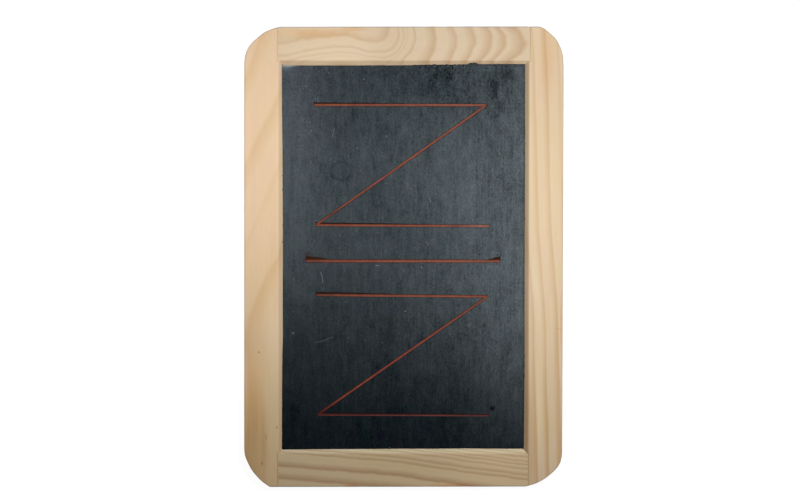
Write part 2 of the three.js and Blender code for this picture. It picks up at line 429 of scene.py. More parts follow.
def corner_arc(side, end, side_run, end_run, crown):
    """Points of one corner's arc, anticlockwise round the board."""
    steps = 36
    on_side = np.array([side * half_width, end * (half_length - side_run)])
    on_end = np.array([side * (half_width - end_run), end * half_length])
    first, last = (on_side, on_end) if side == end else (on_end, on_side)
    chord = last - first
    radius = (chord @ chord / 4 + crown**2) / (2 * crown)
    inward = np.array([-chord[1], chord[0]]) / np.linalg.norm(chord)
    centre = (first + last) / 2 + inward * (radius - crown)
    begin = math.atan2(*(first - centre)[::-1])
    turn = (math.atan2(*(last - centre)[::-1]) - begin) % (2 * math.pi)
    angles = begin + turn * np.arange(steps + 1) / steps
    return centre + radius * np.stack([np.cos(angles), np.sin(angles)], 1)


def frame_outline(spacing=1.2):
    """The board's outline, anticlockwise, and for each point whether it is on a sanded corner."""
    arcs = [corner_arc(*corner) for corner in sanded_corners]
    points, on_corner = [], []
    for i, arc in enumerate(arcs):
        start, stop = arc[-1], arcs[(i + 1) % 4][0]
        count = int(np.linalg.norm(stop - start) / spacing)
        points += [*arc, *(start + (stop - start) * k / count for k in range(1, count))]
        on_corner += [1.0] * len(arc) + [0.0] * (count - 1)
    return np.array(points), np.array(on_corner)


def out_of_square(points):
    moved = points.copy()
    for (side, end), shift in corner_shifts.items():
        share = (1 + side * points[:, 0] / half_width) * (1 + end * points[:, 1] / half_length) / 4
        moved += share[:, None] * np.array(shift)
    return moved


def blended(points, passes=26, reach=4.0):
    """Where a corner's arc meets a long side the sander left no angle, so the points there are smoothed."""
    nearness = np.zeros(len(points))
    for side, end, side_run, _, _ in sanded_corners:
        spot = np.array([side * half_width, end * (half_length - side_run)])
        share = 0.25 if (side, end) == (-1, -1) else 0.8
        nearness += share * np.exp(-(((points - spot) ** 2).sum(1)) / 2 / reach**2)
    for _ in range(passes):
        middle = (np.roll(points, 1, 0) + np.roll(points, -1, 0)) / 2
        points = points + (middle - points) * (0.5 * nearness)[:, None]
    return points


outline, on_corner = frame_outline()
outline = out_of_square(blended(outline))
print("outline:", len(outline), "points,", outline.min(0).round(2), "to", outline.max(0).round(2))


# %% Build the sanded slab
def sanded_slab(name):
    along = np.roll(outline, -1, 0) - np.roll(outline, 1, 0)
    inward = np.stack([-along[:, 1], along[:, 0]], 1)
    inward = inward / np.linalg.norm(inward, axis=1)[:, None]
    flats = 0.5 + 0.5 * soft_noise(outline, 9.0, seed=11)
    waver = 0.5 + 0.5 * soft_noise(outline, 40.0, seed=12)
    dip = on_corner * 0.22 * flats.clip(0, 1) ** 2 + 0.03 * waver.clip(0, 1)
    ease = 0.5 + 0.13 * soft_noise(outline, 14.0, seed=13) + 0.1 * on_corner
    steps = 5
    turns = [i * math.pi / 2 / steps for i in range(steps + 1)]
    rings = []
    for face, turn in [(-1, turn) for turn in reversed(turns)] + [(0, 0.0)] + [(1, turn) for turn in turns]:
        reach = thickness / 2 - ease * (1 - math.sin(turn))
        height = thickness / 2 + face * reach
        belly = 0.02 * soft_noise(np.column_stack([outline, height]), (12, 12, 4), seed=14)
        ring = outline + inward * (dip + ease * (1 - math.cos(turn)) + np.abs(belly))[:, None]
        rings.append(np.column_stack([ring, height]))
    return tube(name, rings, len(outline))


slab = sanded_slab("sanded_slab")
tell(slab)

# %% [markdown]
# ## The four lengths of moulded pine
#
# The stock is planed square and then run through a moulder, which cuts the groove for the slate and a
# slope down each face beside it, rounded where it leaves the face. The rails' slope starts a little
# sooner than the stiles' and is less steep. The stiles are slotted right through at their ends. Each
# rail is scribed over the stile's slope, and its middle third goes on as a tongue to the stile's outer
# edge. The order below is the joiner's: sweep the section, cut the slots, scribe the shoulders, glue on
# the tongue, then sand everything to the outline.

# %% Draw the moulded section
stile_slope = {"turn_at": face_width + 0.83, "ease": 0.83}
rail_slope = {"turn_at": face_width + 0.35, "ease": 0.5}


def slope(turn_at, ease, out=0.0, up=0.0):
    """The moulding's line, from the face to the lip: distance from the outer edge, depth below the face."""
    turn = np.array([turn_at + out, -up])
    lip = np.array([member_width + lip_spare + out, moulding_drop - up])
    start = turn - (ease, 0)
    stop = turn + (lip - turn) * ease / np.linalg.norm(lip - turn)
    points = []
    for share in np.linspace(0, 1, 6):
        points.append((1 - share) ** 2 * start + 2 * share * (1 - share) * turn + share**2 * stop)
    points += [stop + (lip - stop) * share for share in (0.35, 0.7, 1.0)]
    return [(float(x), float(depth)) for x, depth in points]


def both_faces(half):
    """A section from points (distance from the outer edge, depth below the face) of its upper half."""
    return [(x, thickness - depth) for x, depth in half] + half[::-1]


def moulded_section(line):
    lip_at = member_width + lip_spare
    half = [(x, 0.015) for x in np.linspace(-0.6, line["turn_at"] - line["ease"] - 0.9, 11)]
    half += slope(**line, up=-0.015)
    return both_faces(half + [(lip_at, moulding_drop + 0.25), (lip_at, cheek), (web_width, cheek)])


def scribed_section():
    """The stile's section with the groove filled and a glue line added: it cuts a rail's shoulder."""
    line = slope(**stile_slope, out=0.1, up=0.004)
    return both_faces([(-3.0, -3.0), (line[0][0], -3.0)] + line)


print("points in the section:", len(moulded_section(stile_slope)))


# %% Lips as the saw and the chisel left them
# A lip is the thin edge of wood over the slate. A tool shaped like a ragged ribbon trims each one. It
# follows the lip's slow waver, and bites into it where the wood tore.
def torn_lip(place, long, face, course, tears, seed):
    """place(distance into the wood, distance along, height) gives a point. tears: (middle, length, depth)."""
    along = np.arange(-long, long + 0.01, 0.22)
    ones = np.ones_like(along)
    ends = np.minimum(1.0, (long - np.abs(along)) / 0.8)
    waver = np.interp(along, *zip(*course))

    def rough(height, wave, seed):
        return soft_noise(np.column_stack([along, height * ones]), wave, seed)

    levels = [(-1.6, 6.9), (0.0, 6.9), (0.0, 7.45), (0.25, 8.0), (0.9, 9.2), (-1.6, 9.2)]
    rows = []
    for lean, height in levels:
        depth = lean * ones
        if lean >= 0:
            fine = 0.035 + 0.04 * rough(0.4 * height, (1.1, 1.0), seed)
            fine = fine + 0.03 * rough(height, (5.0, 2.0), seed + 1)
            tear = np.zeros_like(along)
            for middle, length, deep in tears:
                inside = (1 - np.abs(2 * (along - middle) / length) ** 3).clip(0, 1)
                jag = 1 + 0.35 * rough(0.3 * height, (1.3, 1.5), seed + 2)
                tear = np.maximum(tear, deep * inside * jag)
            splay = np.minimum(tear, 0.6) * (0.5 * lean)
            depth = (waver + fine + tear + splay) * ends - (lip_spare + 0.05) * (1 - ends)
        height_here = height if face > 0 else thickness - height
        rows.append([place(d, s, height_here) for d, s in zip(depth, along)])
    return tube("lip_trim", np.array(rows).transpose(1, 0, 2), len(levels))


# how far each lip lies back from its straight line, along Y on a stile and along X on a rail
courses = {
    "left": [
        (-108, 0.4), (-76, 0.32), (-54, 0.12), (-44, -0.16), (-28, -0.08), (-8, -0.12), (14, -0.17),
        (37, -0.05), (59, 0.02), (82, 0.3), (108, 0.45),
    ],
    "right": [
        (-108, -0.28), (-76, -0.06), (-54, 0.0), (-31, -0.1), (-20, 0.0),
        (20, -0.05), (48, 0.08), (108, 0.03),
    ],
    "top": [
        (-69, -0.34), (-26, -0.28), (2, -0.15), (12, 0.16), (18, 0.2), (30, 0.2), (36, 0.36), (42, 0.5),
        (54, 0.62), (69, 0.56),
    ],
    "bottom": [
        (-69, 0.5), (-48, 0.3), (-14, 0.13), (-3, -0.02), (19, 0.0), (31, -0.17), (54, -0.06), (69, -0.04),
    ],
}

# middle, length and depth of each tear, along Y on a stile and along X on a rail
tears = {
    "left": [(38, 1.2, 0.18), (18, 1.4, 0.2), (8.5, 1.2, 0.25), (46, 0.9, 0.2), (-62, 1.0, 0.15)],
    "right": [(64, 1.0, 0.2), (22, 1.2, 0.2), (-56, 2.4, 0.16), (-61, 1.6, 0.18), (-67, 2.8, 0.14)],
    "top": [
        (17.0, 1.7, 0.24), (24.0, 1.8, 0.22), (28.6, 2.2, 0.24), (32.0, 6.0, 0.12), (38.8, 6.4, 0.7),
        (53.5, 2.0, 0.12), (57.5, 1.2, 0.1), (6.0, 1.4, 0.2), (-12.0, 1.0, 0.1),
    ],
    "bottom": [(-8, 1.2, 0.14), (31, 0.9, 0.16), (58, 1.6, 0.14)],
}
print("tears per lip:", {name: len(found) for name, found in tears.items()})


# %% Make the stiles and rails
def planed(made, seed):
    """Leaves the planer's faint waves on both faces."""
    points = get_points(made)
    wave = soft_noise(points[:, :2], 38.0, seed)
    front = ((points[:, 2] - 9.5) / 0.4).clip(0, 1)
    back = ((0.5 - points[:, 2]) / 0.4).clip(0, 1)
    points[:, 2] += (back - front) * 0.012 * (1 + wave).clip(0, 2)
    return set_points(made, points)


def leaning(made):
    """The right stile leans in towards the lower end of the board, and a shoulder cut over it too."""
    points = get_points(made)
    points[:, 0] -= 0.6 * ((half_length - points[:, 1]) / (2 * half_length)) ** 2
    return set_points(made, points)


def finish_member(made, lip, place, long, seed):
    for face in (1, -1):
        chosen = tears[lip] if face > 0 else tears[lip][::3]
        carve(made, torn_lip(place, long, face, courses[lip], chosen, seed + 7 * face))


def sand(made):
    return shade(face_outwards(carve(made, slab, "INTERSECT", keep_tool=True)), 32)


def make_stile(name, side, seed):
    reach, x = half_length + 0.8, side * half_width
    made = swept(name, moulded_section(stile_slope), (x, side * reach, 0), (x, -side * reach, 0))
    planed(made, seed)
    if side > 0:
        leaning(made)
    for end in (-1, 1):
        near = (-half_width - 3, end * (half_length - web_width - glue_line), cheek)
        carve(made, block("slot", near, (half_width + 3, end * (half_length + 3), thickness - cheek)))
    place = lambda depth, along, height: (side * (opening_x + depth), along, height)
    finish_member(made, "left" if side < 0 else "right", place, opening_y + 1.0, seed)
    return sand(made)


def make_rail(name, end, seed):
    reach, y = half_width + 0.8, end * half_length
    made = swept(name, moulded_section(rail_slope), (-end * reach, y, 0), (end * reach, y, 0))
    planed(made, seed)
    for side in (-1, 1):
        start, stop = [(side * half_width, far * side * (half_length + 4), 0) for far in (1, -1)]
        scribe = swept("scribe", scribed_section(), start, stop, step_mm=4.0)
        carve(made, leaning(scribe) if side > 0 else scribe)
    place = lambda depth, along, height: (along, end * (opening_y + depth), height)
    finish_member(made, "top" if end > 0 else "bottom", place, opening_x + 1.0, seed)
    near = (-half_width - 2, end * (half_length - web_width + 0.01), cheek + glue_line)
    far = (half_width + 2, end * (half_length + 2), thickness - cheek - glue_line)
    carve(made, block("tongue", near, far), "UNION")
    return sand(made)


left_stile = make_stile("left_stile_pine", -1, seed=21)
right_stile = make_stile("right_stile_pine", 1, seed=22)
top_rail = make_rail("top_rail_pine", 1, seed=23)
bottom_rail = make_rail("bottom_rail_pine", -1, seed=24)
members = [left_stile, right_stile, top_rail, bottom_rail]
bpy.data.objects.remove(slab)
for made in members:
    tell(made)

# %% [markdown]
# ## The sheet of slate
#
# Slate splits along its bed into flat sheets, and a rubbed face keeps faint long swells and here and
# there the edge of a layer a hair thick. A fine grid with those heights carries them. The lines were
# cut with a graver along a straight edge. Each stroke is a sweep of the graver's section with a short
# run-out at its ends and a slight shake, taken out of the sheet, so the two walls of a line are ragged
# and never quite parallel.

# %% Lay out the strokes, each from its start to its end, in millimetres across and along the board
upper_zigzag = [
    ((-50.8, 85.8), (46.9, 85.8)), ((46.6, 85.8), (-49.5, 18.1)), ((-50.0, 18.1), (48.8, 17.6)),
]
lower_zigzag = [
    ((-49.7, -21.4), (47.8, -22.2)), ((47.5, -22.2), (-48.6, -89.1)), ((-48.6, -89.1), (48.6, -89.5)),
]
centre_line = [((-55.6, -2.2), (54.7, -2.2))]
zigzag_widths, centre_width = [1.0, 0.84, 0.9], [1.2]  # the slanting strokes were cut lighter
floor_height, cut_flare = 6.15, 0.5
print("strokes:", [len(figure) for figure in (upper_zigzag, centre_line, lower_zigzag)])


# %% Build the sheet
def split_face(points, seed):
    """Height of a split and rubbed slate face about its mean plane, at most 0.045 above it."""
    swell = 0.02 * soft_noise(points, (60, 90), seed) + 0.012 * soft_noise(points, (9, 26), seed + 1)
    layer = soft_noise(points, (34, 48), seed + 2) + 0.25 * soft_noise(points, (5, 9), seed + 3)
    step = ((layer - 0.95) / 0.12).clip(0, 1)
    grain = 0.005 * soft_noise(points, (1.9, 7.0), seed + 4)
    return (swell + grain - 0.035 * step).clip(-0.09, 0.045)


def slate_sheet(name, wide=145.6, long=225.6, columns=147, rows=227):
    across, along = np.linspace(-wide / 2, wide / 2, columns), np.linspace(-long / 2, long / 2, rows)
    grid = np.array([(x, y) for y in along for x in across])
    count = len(grid)
    front = np.column_stack([grid, slate_face + split_face(grid, 31)])
    back = np.column_stack([grid, slate_back - split_face(grid, 41)])
    points = np.concatenate([front, back])
    faces = []
    for a in (j * columns + i for j in range(rows - 1) for i in range(columns - 1)):
        faces.append((a, a + 1, a + columns + 1, a + columns))
        faces.append((count + a, count + a + columns, count + a + columns + 1, count + a + 1))
    rim = [*range(columns - 1), *range(columns - 1, count - 1, columns)]
    rim += [*range(count - 1, count - columns, -1), *range(count - columns, 0, -columns)]
    faces += [(a, count + a, count + b, b) for a, b in zip(rim, rim[1:] + rim[:1])]
    # the edges are dressed with a file: both faces fall away a little, and the rim is uneven
    inset = (0.12 + 0.12 * soft_noise(grid[rim], 3.0, 51)).clip(0, 0.3)
    for k, index in enumerate(rim):
        for layer, fall in ((index, -0.35), (count + index, 0.35)):
            points[layer, 2] += fall
            points[layer, :2] *= 1 - inset[k] / half_width
    return face_outwards(make_object(name, points, faces))


slate = slate_sheet("slate_sheet")
tell(slate)


# %% Cut the lines
def graver_section(floor_width):
    """A section through a cut, drawn about the slate's face, and going on above it."""
    depth, above = slate_face - floor_height, 0.7
    half = floor_width / 2
    right = [(half - 0.08, -depth), (half + 0.02, -depth + 0.06), (half + cut_flare * depth, 0.0)]
    right.append((half + cut_flare * (depth + above), above))
    return [(-x, z) for x, z in right[::-1]] + right


def sweep_strokes(figure, height, sections, seed, **more):
    """One sweep along each stroke of a figure, each with its own section."""
    for number, ((start, end), section) in enumerate(zip(figure, sections)):
        yield swept("stroke", section, (*start, height), (*end, height), seed=seed + number, **more)


figures = [
    (upper_zigzag, zigzag_widths, 61), (lower_zigzag, zigzag_widths, 71), (centre_line, centre_width, 81),
]
for figure, widths, seed in figures:
    sections = [graver_section(width) for width in widths]
    for graver in sweep_strokes(figure, slate_face, sections, seed, step_mm=0.55, run_out_mm=0.55,
                                shake_mm=0.075, shake_length_mm=0.8):
        carve(slate, graver)
print("after the lines:", triangles(slate), "triangles")


# %% Scoop out the gashes at the ends of the centre line, and the slips of the graver
# The graver ran wild there and tore away the slate above the line. Each gash is a shallow scoop with a
# blunt outer end and a tip towards the middle of the board. The strokes across were started at the
# left, where the graver slipped a little above each line.
def gash_tool(corner, side, run, rise, fullness, seed, steps=46):
    share = np.linspace(0, 1, steps)
    along = corner[0] - side * run * share
    height = rise * ((1 - share) ** (1 / (1 + 3 * (fullness - 0.3))))
    edge = soft_noise(np.column_stack([along, height]), (0.9, 2.0), seed)
    height = (height * (1 + 0.1 * edge) + 0.05 * edge).clip(0.12, None)
    depth = 0.45 * (1 - 0.55 * share) + 0.05 * soft_noise(along[:, None], 1.7, seed + 1)
    rings = []
    for s, h, d in zip(along, height, depth):
        top, low = slate_face + 0.6, slate_face - d
        profile = [(-0.2, low), (0.55 * h, low + 0.03), (h - 0.1, low + 0.1 * d), (h + 0.14, slate_face)]
        profile += [(h + 0.35, top), (-0.2, top)]
        rings.append([(s, corner[1] + y, z) for y, z in profile])
    return tube("gash", rings, len(profile))


scoops = [
    (centre_line[0][0], -1, 13.5, 2.75, 0.85, 91), (centre_line[0][1], 1, 9.5, 2.8, 0.35, 95),
    (upper_zigzag[0][0], -1, 88.0, 1.25, 0.6, 97), (upper_zigzag[2][0], -1, 70.0, 1.25, 0.6, 98),
    (lower_zigzag[0][0], -1, 46.0, 1.7, 0.6, 99), (lower_zigzag[2][0], -1, 60.0, 1.05, 0.6, 100),
]
for scoop in scoops:
    carve(slate, gash_tool(*scoop))
shade(slate, 28)
tell(slate)

# %% [markdown]
# ## The paint in the lines
#
# Thick red paint was run along each line with a fine brush and the surplus wiped off. It dried dished:
# low in the middle, and drawn a little way up both walls. It is the same sweep again, with that section.


# %% Fill the lines with paint
def paint_section(floor_width):
    half = floor_width / 2
    right = [(half, 0.02), (half + 0.17, 0.385), (half + 0.02, 0.31), (0.6 * half, 0.27), (0.2 * half, 0.25)]
    return right + [(-x, z) for x, z in right[::-1]]


def paint_line(name, figure, widths, seed):
    sections = [paint_section(width) for width in widths]
    whole, *others = sweep_strokes(figure, floor_height, sections, seed, step_mm=0.5, run_out_mm=0.35,
                                   shake_mm=0.06, shake_length_mm=1.1)
    for stroke in others:
        carve(whole, stroke, "UNION")
    whole.name = name
    return shade(face_outwards(whole), 50)


upper_paint = paint_line("upper_zigzag_red_paint", upper_zigzag, zigzag_widths, seed=101)
centre_paint = paint_line("centre_line_red_paint", centre_line, centre_width, seed=111)
lower_paint = paint_line("lower_zigzag_red_paint", lower_zigzag, zigzag_widths, seed=121)
paints = [upper_paint, centre_paint, lower_paint]
for made in paints:
    tell(made)

# %% [markdown]
# ## Torn fibres along the lips
#
# The moulder lifts the wood's fibres along the thin lip, and short pale slivers stay hanging over the
# slate. There are far too many to place one by one, so Geometry Nodes strew them: points along the
# lip's edge, a sliver on each, turned, leaned and sized at random from a fixed seed.


# %% Build the fibre tree
def fibre_tree():
    tree, bench, given = start_tree("fibres along an edge", {
        "Unused": "Geometry", "Start": "Vector", "End": "Vector", "Spacing": 0.002, "Share kept": 0.5,
        "Shortest": 0.0003, "Longest": 0.0012, "Thickness": 0.0001, "Heading": 0.0, "Seed": 0,
        "Material": "Material",
    })

    def value(name):
        return bench.signal(given[name])

    def chance(low, high, step):
        sockets = {"Min_001": low, "Max_001": high, "Seed": value("Seed") + float(step)}
        return bench.signal(bench.put("FunctionNodeRandomValue", {"data_type": "FLOAT"}, sockets)[1])

    line_ends = {"Start": given["Start"], "End": given["End"]}
    line = bench.put("GeometryNodeCurvePrimitiveLine", None, line_ends)[0]
    sockets = {"Curve": line, "Length": given["Spacing"]}
    spots = bench.put("GeometryNodeCurveToPoints", {"mode": "LENGTH"}, sockets)["Points"]
    dropped = bench.signal(given["Share kept"]).work("LESS_THAN", given["Share kept"], chance(0.0, 1.0, 1))
    sockets = {"Geometry": spots, "Selection": dropped}
    spots = bench.put("GeometryNodeDeleteGeometry", {"domain": "POINT"}, sockets)[0]
    jitter = bench.vector(
        chance(-0.00006, 0.00006, 2), chance(-0.0006, 0.0006, 3), chance(-0.0001, 0.0001, 4),
    )
    spots = bench.put("GeometryNodeSetPosition", None, {"Geometry": spots, "Offset": jitter})[0]
    sockets = {"Vertices": 5, "Side Segments": 4, "Radius Top": 0.1, "Radius Bottom": 0.5, "Depth": 1.0}
    sliver = bench.put("GeometryNodeMeshCone", {"fill_type": "NGON"}, sockets)[0]
    up = bench.split(bench.put("GeometryNodeInputPosition")[0])[2]
    bend = bench.vector(up * up * 0.9, 0.0, 0.0)
    sliver = bench.put("GeometryNodeSetPosition", None, {"Geometry": sliver, "Offset": bend})[0]
    length = value("Shortest") + chance(0.0, 1.0, 5) ** 2.0 * (value("Longest") - value("Shortest"))
    width = value("Thickness") * chance(0.6, 1.4, 6)
    heading = value("Heading") + chance(-0.55, 0.3, 9)
    turn = bench.vector(chance(1.35, 1.75, 7), chance(-0.3, 0.3, 8), heading)
    turn = bench.put("FunctionNodeEulerToRotation", None, {0: turn})[0]
    sizes = bench.vector(width, width, length)
    sockets = {"Points": spots, "Instance": sliver, "Rotation": turn, "Scale": sizes}
    end_tree(bench, bench.put("GeometryNodeInstanceOnPoints", None, sockets)[0], given["Material"])
    return tree


fibres = fibre_tree()
print("fibre tree:", len(fibres.nodes), "nodes")

# %% Strew the fibres
# the ends of each run, so that it follows its lip: distance back from the straight line, place along it
left_x, right_x, top_y, bottom_y, lip_z = -opening_x, opening_x, opening_y, -opening_y, 7.42
runs = [
    ("left_lip_fibres_low", (left_x - 0.45, -107), (left_x - 0.02, -36), 0.0, 3, 0.35),
    ("left_lip_fibres_high", (left_x + 0.1, 10), (left_x - 0.48, 107), 0.0, 13, 0.6),
    ("right_lip_fibres", (right_x + 0.12, 107), (right_x + 0.06, -50), math.pi, 4, 0.5),
    ("top_lip_fibres", (-66, top_y - 0.12), (8, top_y + 0.02), -math.pi / 2, 5, 0.3),
    ("torn_top_lip_fibres", (28, top_y + 0.45), (66, top_y + 0.68), -math.pi / 2, 15, 0.5),
    ("bottom_lip_fibres", (0, bottom_y - 0.03), (-66, bottom_y - 0.5), math.pi / 2, 6, 0.25),
]
fibre_pieces = []
for name, start, end, heading, seed, kept in runs:
    values = {"Start": [v * MM for v in (*start, lip_z)], "End": [v * MM for v in (*end, lip_z)]}
    values |= {"Spacing": 1.6 * MM, "Share kept": kept, "Shortest": 0.25 * MM, "Longest": 1.1 * MM}
    values |= {"Thickness": 0.1 * MM, "Heading": heading, "Seed": seed}
    fibre_pieces.append(shade(use_tree(make_object(name, [], []), fibres, values), 40))
    tell(fibre_pieces[-1])

# %% [markdown]
# ## Tools for the finishes
#
# All finishes are patterns in the piece's own coordinates, in millimetres, so they stay where they are
# when the board is seen from elsewhere. A mark is an oval with a soft edge, a scratch is a short line.
# Both are numbers from 0 to 1 that mix one colour into another.


# %% Patterns that the finishes share
def start_material(name):
    made = bpy.data.materials.new(name)
    made.use_nodes = True
    made.node_tree.nodes.clear()
    return made, Bench(made.node_tree)


def places(bench):
    """Where a point is, in mm: across the board, along it, and up."""
    return bench.split(bench.vector_work("SCALE", bench.put("ShaderNodeTexCoord")["Object"], Scale=1 / MM))


def mark(x, y, centre, size, soft=0.4, ragged=None):
    """1 in an oval and 0 outside. size gives its half-widths, ragged a signal that roughens its edge."""
    across, along = (x - centre[0]) / size[0], (y - centre[1]) / size[1]
    distance = (across * across + along * along).root()
    if ragged is not None:
        distance = distance + ragged
    return distance.rise(1 + soft, 1 - soft)


def scratch(x, y, start, end, width):
    """1 on a short straight line and 0 away from it."""
    length = math.hypot(end[0] - start[0], end[1] - start[1])
    ux, uy = (end[0] - start[0]) / length, (end[1] - start[1]) / length
    along = (x - start[0]) * ux + (y - start[1]) * uy
    across = (y - start[1]) * ux - (x - start[0]) * uy
    beyond = (abs(along - length / 2) - length / 2).most(0.0)
    return (across * across + beyond * beyond).root().rise(width, 0.0)


def curve(value, knots, kind="B_SPLINE"):
    """A value read off a line near its knots, which are (value, height) pairs: smooth, or LINEAR."""
    low, high = knots[0][0], knots[-1][0]
    heights = [height for _, height in knots]
    floor, span = min(heights), max(heights) - min(heights)
    stops = [((at - low) / (high - low), (height - floor) / span) for at, height in knots]
    settings = {"stops": stops, "ramp": kind}
    read = value.bench.put("ShaderNodeValToRGB", settings, {0: (value - low) / (high - low)})[0]
    return value.bench.signal(read) * span + floor


def finish(bench, tone, roughness, height, lift_mm, shine, sheen=(1.0, 1.0, 1.0), polish=None):
    """The shader at the end of each finish. height lifts the surface by up to about lift_mm. polish says
    how much of the sheen a place has, from 0 to 1, for a surface that is not polished all over."""
    bump = bench.put("ShaderNodeBump", None, {"Height": height, "Distance": lift_mm * MM, "Strength": 1.0})[0]
    sockets = {"Base Color": tone, "Roughness": roughness, "Normal": bump, "Specular Tint": sheen}
    surface = bench.put("ShaderNodeBsdfPrincipled", None, sockets | {"Specular IOR Level": shine})[0]
    if polish is not None:
        dull = bench.put("ShaderNodeBsdfPrincipled", None, sockets | {"Specular IOR Level": 0.0})[0]
        surface = bench.put("ShaderNodeMixShader", None, {0: polish, 1: dull, 2: surface})[0]
    bench.put("ShaderNodeOutputMaterial", None, {"Surface": surface})


def dress(made, finish_there):
    made.data.materials.clear()
    made.data.materials.append(finish_there)
    print(made.name, "takes", finish_there.name, "with", len(finish_there.node_tree.nodes), "nodes")


print("finish tools ready")

# %% [markdown]
# ## The pine
#
# The figure of a board is where its faces cut the tree's growth rings: pale wood grown in spring, which
# darkens through the summer and ends sharply at the winter's edge. So each member gets one number, the
# distance from the tree's heart, worked out from its place in three dimensions. The same ring then runs
# over the face, the slope, the edge and the back, as it does on real wood. A wood texture with even
# rings would not give the bold arcs of the top rail and the plain flanks of the stiles.


# %% Rings, fibres and the colour of pine
def ring_bands(radius, rings):
    """Summer bands: rings are (distance of the sharp edge, width of the band, strength)."""
    total, rings_per_ramp = None, 8
    for first in range(0, len(rings), rings_per_ramp):
        some = rings[first:first + rings_per_ramp]
        knots = [(some[0][0] - some[0][1] - 1.0, 0.0)]
        for edge, width, strength in some:
            knots += [(edge - width, 0.0), (edge - 0.22 * width, strength), (edge + 0.3, 0.0)]
        bands = curve(radius, knots + [(some[-1][0] + 1.5, 0.0)], "LINEAR")
        total = bands if total is None else total + bands
    return total


def pine(name, radius_of, rings, early, late, along_y, slope_light_and_shade, seed, patches, **more):
    """patches are rows: x, y, half-width, half-height, red, green, blue, softness of the edge."""
    fibre, bolder = more.get("fibre", 1.0), more.get("bolder", lambda x, y: 1.0)
    made, bench = start_material(name)
    x, y, z = places(bench)
    run, side = (y, x) if along_y else (x, y)

    def pattern(run_scale, side_scale, shift=0.0, **how):
        return bench.noise((run * run_scale, side * side_scale, z * side_scale + (seed + shift)), **how)

    drift = pattern(0.035, 0.16, detail=1.0)
    shake = bench.noise((x * 0.17, y * 0.17, z * 0.17 + seed), roughness=0.4)
    waver = drift * (2 * more.get("ring_waver", 0.35)) + shake * more.get("jagged", 0.0)
    radius = radius_of(x, y, z) + waver
    bands = ring_bands(radius, rings) * bolder(x, y)

    # fibres run along the grain: broad soft streaks, fine ones, and a few short resin ducts
    broad = pattern(0.02, 0.55)
    fine = bench.noise((run * 0.09, side * 3.4 + radius, z * 3.4 + seed), detail=3.0, roughness=0.65)
    hair = pattern(0.5, 9.0)
    cloud = pattern(0.022, 0.07, 7.0)
    warm = pattern(0.045, 0.12, 3.0, detail=1.0)
    ducts = pattern(0.35, 4.6, 11.0, detail=1.0).rise(0.27, 0.4) * more.get("fleck", 0.5)
    share = (bands + bands * fine * 0.9 + broad * 0.12 + cloud * 0.3).least(1.0).most(0.0)
    tone = bench.mix(share, early, late)
    tone = bench.tint(warm.rise(0.02, 0.3) * 0.55, tone, (1.0, 0.955, 0.99))
    tone = bench.tint(warm.rise(-0.02, -0.3) * 0.6, tone, (0.975, 1.0, 0.9))
    for at_x, at_y, wide, tall, red, green, blue, soft in patches:
        tone = bench.tint(mark(x, y, (at_x, at_y), (wide, tall), soft), tone, (red, green, blue))
    streaks = 1.0 + (fine * 0.15 + hair * 0.1 + broad * 0.06) * fibre - ducts * 0.2
    tone = bench.tint(1.0, tone, bench.grey(streaks))

    # end grain drinks in dirt and oil; the outer sides are darker where they turn down from the face, most
    # on the top and bottom ends, and a thin line along the top and bottom arris is painted shade
    facing = bench.split(bench.put("ShaderNodeTexCoord")["Normal"])
    level = abs(facing[2])
    rim = (abs(x) - 87.2).most(abs(y) - 127.2)
    arris_painted_shade = (y - x * 0.0021 - 129.81).most(x * 0.0024 - y - 129.665).rise(-0.85, -0.4)
    turned_sides_darker = rim.rise(0.0, 3.0) * level.rise(0.995, 0.8) * (0.8 + cloud * 0.8)
    turned_sides_darker = turned_sides_darker * (0.3 + abs(facing[1]).rise(0.05, 0.4) * 0.7)
    end_on = abs(facing[1] if along_y else facing[0]).rise(0.45, 0.95)
    tone = bench.tint(end_on * 0.7, tone, (0.74, 0.66, 0.56))
    tone = bench.tint(turned_sides_darker * 0.9, tone, (0.62, 0.62, 0.64))
    # painted shade along the top and bottom arris
    tone = bench.tint(arris_painted_shade * 0.9, tone, (0.78, 0.91, 1.14))

    # each member's slope gets its own tint, as painted light and shade: lighter on the lower rail, which
    # faces the lamps, and darker on the others, most on the right stile, which faces away from them
    lip_off = (abs(x) - opening_x).most(abs(y) - opening_y)
    tone = bench.tint(lip_off.rise(2.6, 2.0), tone, slope_light_and_shade)
    # slate dust has settled on the slope down by the lip, and the grey band there is also painted shade where
    # the slope meets the slate
    dusty = lip_off.rise(0.9, 0.0) * (0.35 + fine * 0.7 + hair * 0.5).most(0.0)
    tone = bench.mix(dusty * 0.2, tone, (0.3, 0.31, 0.31))

    # glue and dirt show as a thin line where rail and stile meet
    inward = (half_length - y) / (2 * half_length)
    meeting = abs(x) - (half_width - face_width - 0.1) + inward * inward * x.rise(-1.0, 1.0) * 0.6
    joint = abs(meeting).rise(0.42, 0.1) * abs(y).rise(109.4, 110.2) * level.rise(0.8, 0.95)
    joint = joint * (0.7 + cloud * 0.9 + broad * 0.6) * 0.6
    tone = bench.tint(joint.least(1.0).most(0.0), tone, (0.42, 0.4, 0.38))

    roughness = (0.6 + fine * 0.12 - bands * 0.07 + dusty * 0.1).least(0.85)
    finish(bench, tone, roughness, bands * 0.35 + fine * 0.55 + hair * 0.35 - ducts * 0.9, 0.05, shine=0.3)
    return made


print("pine recipe ready")

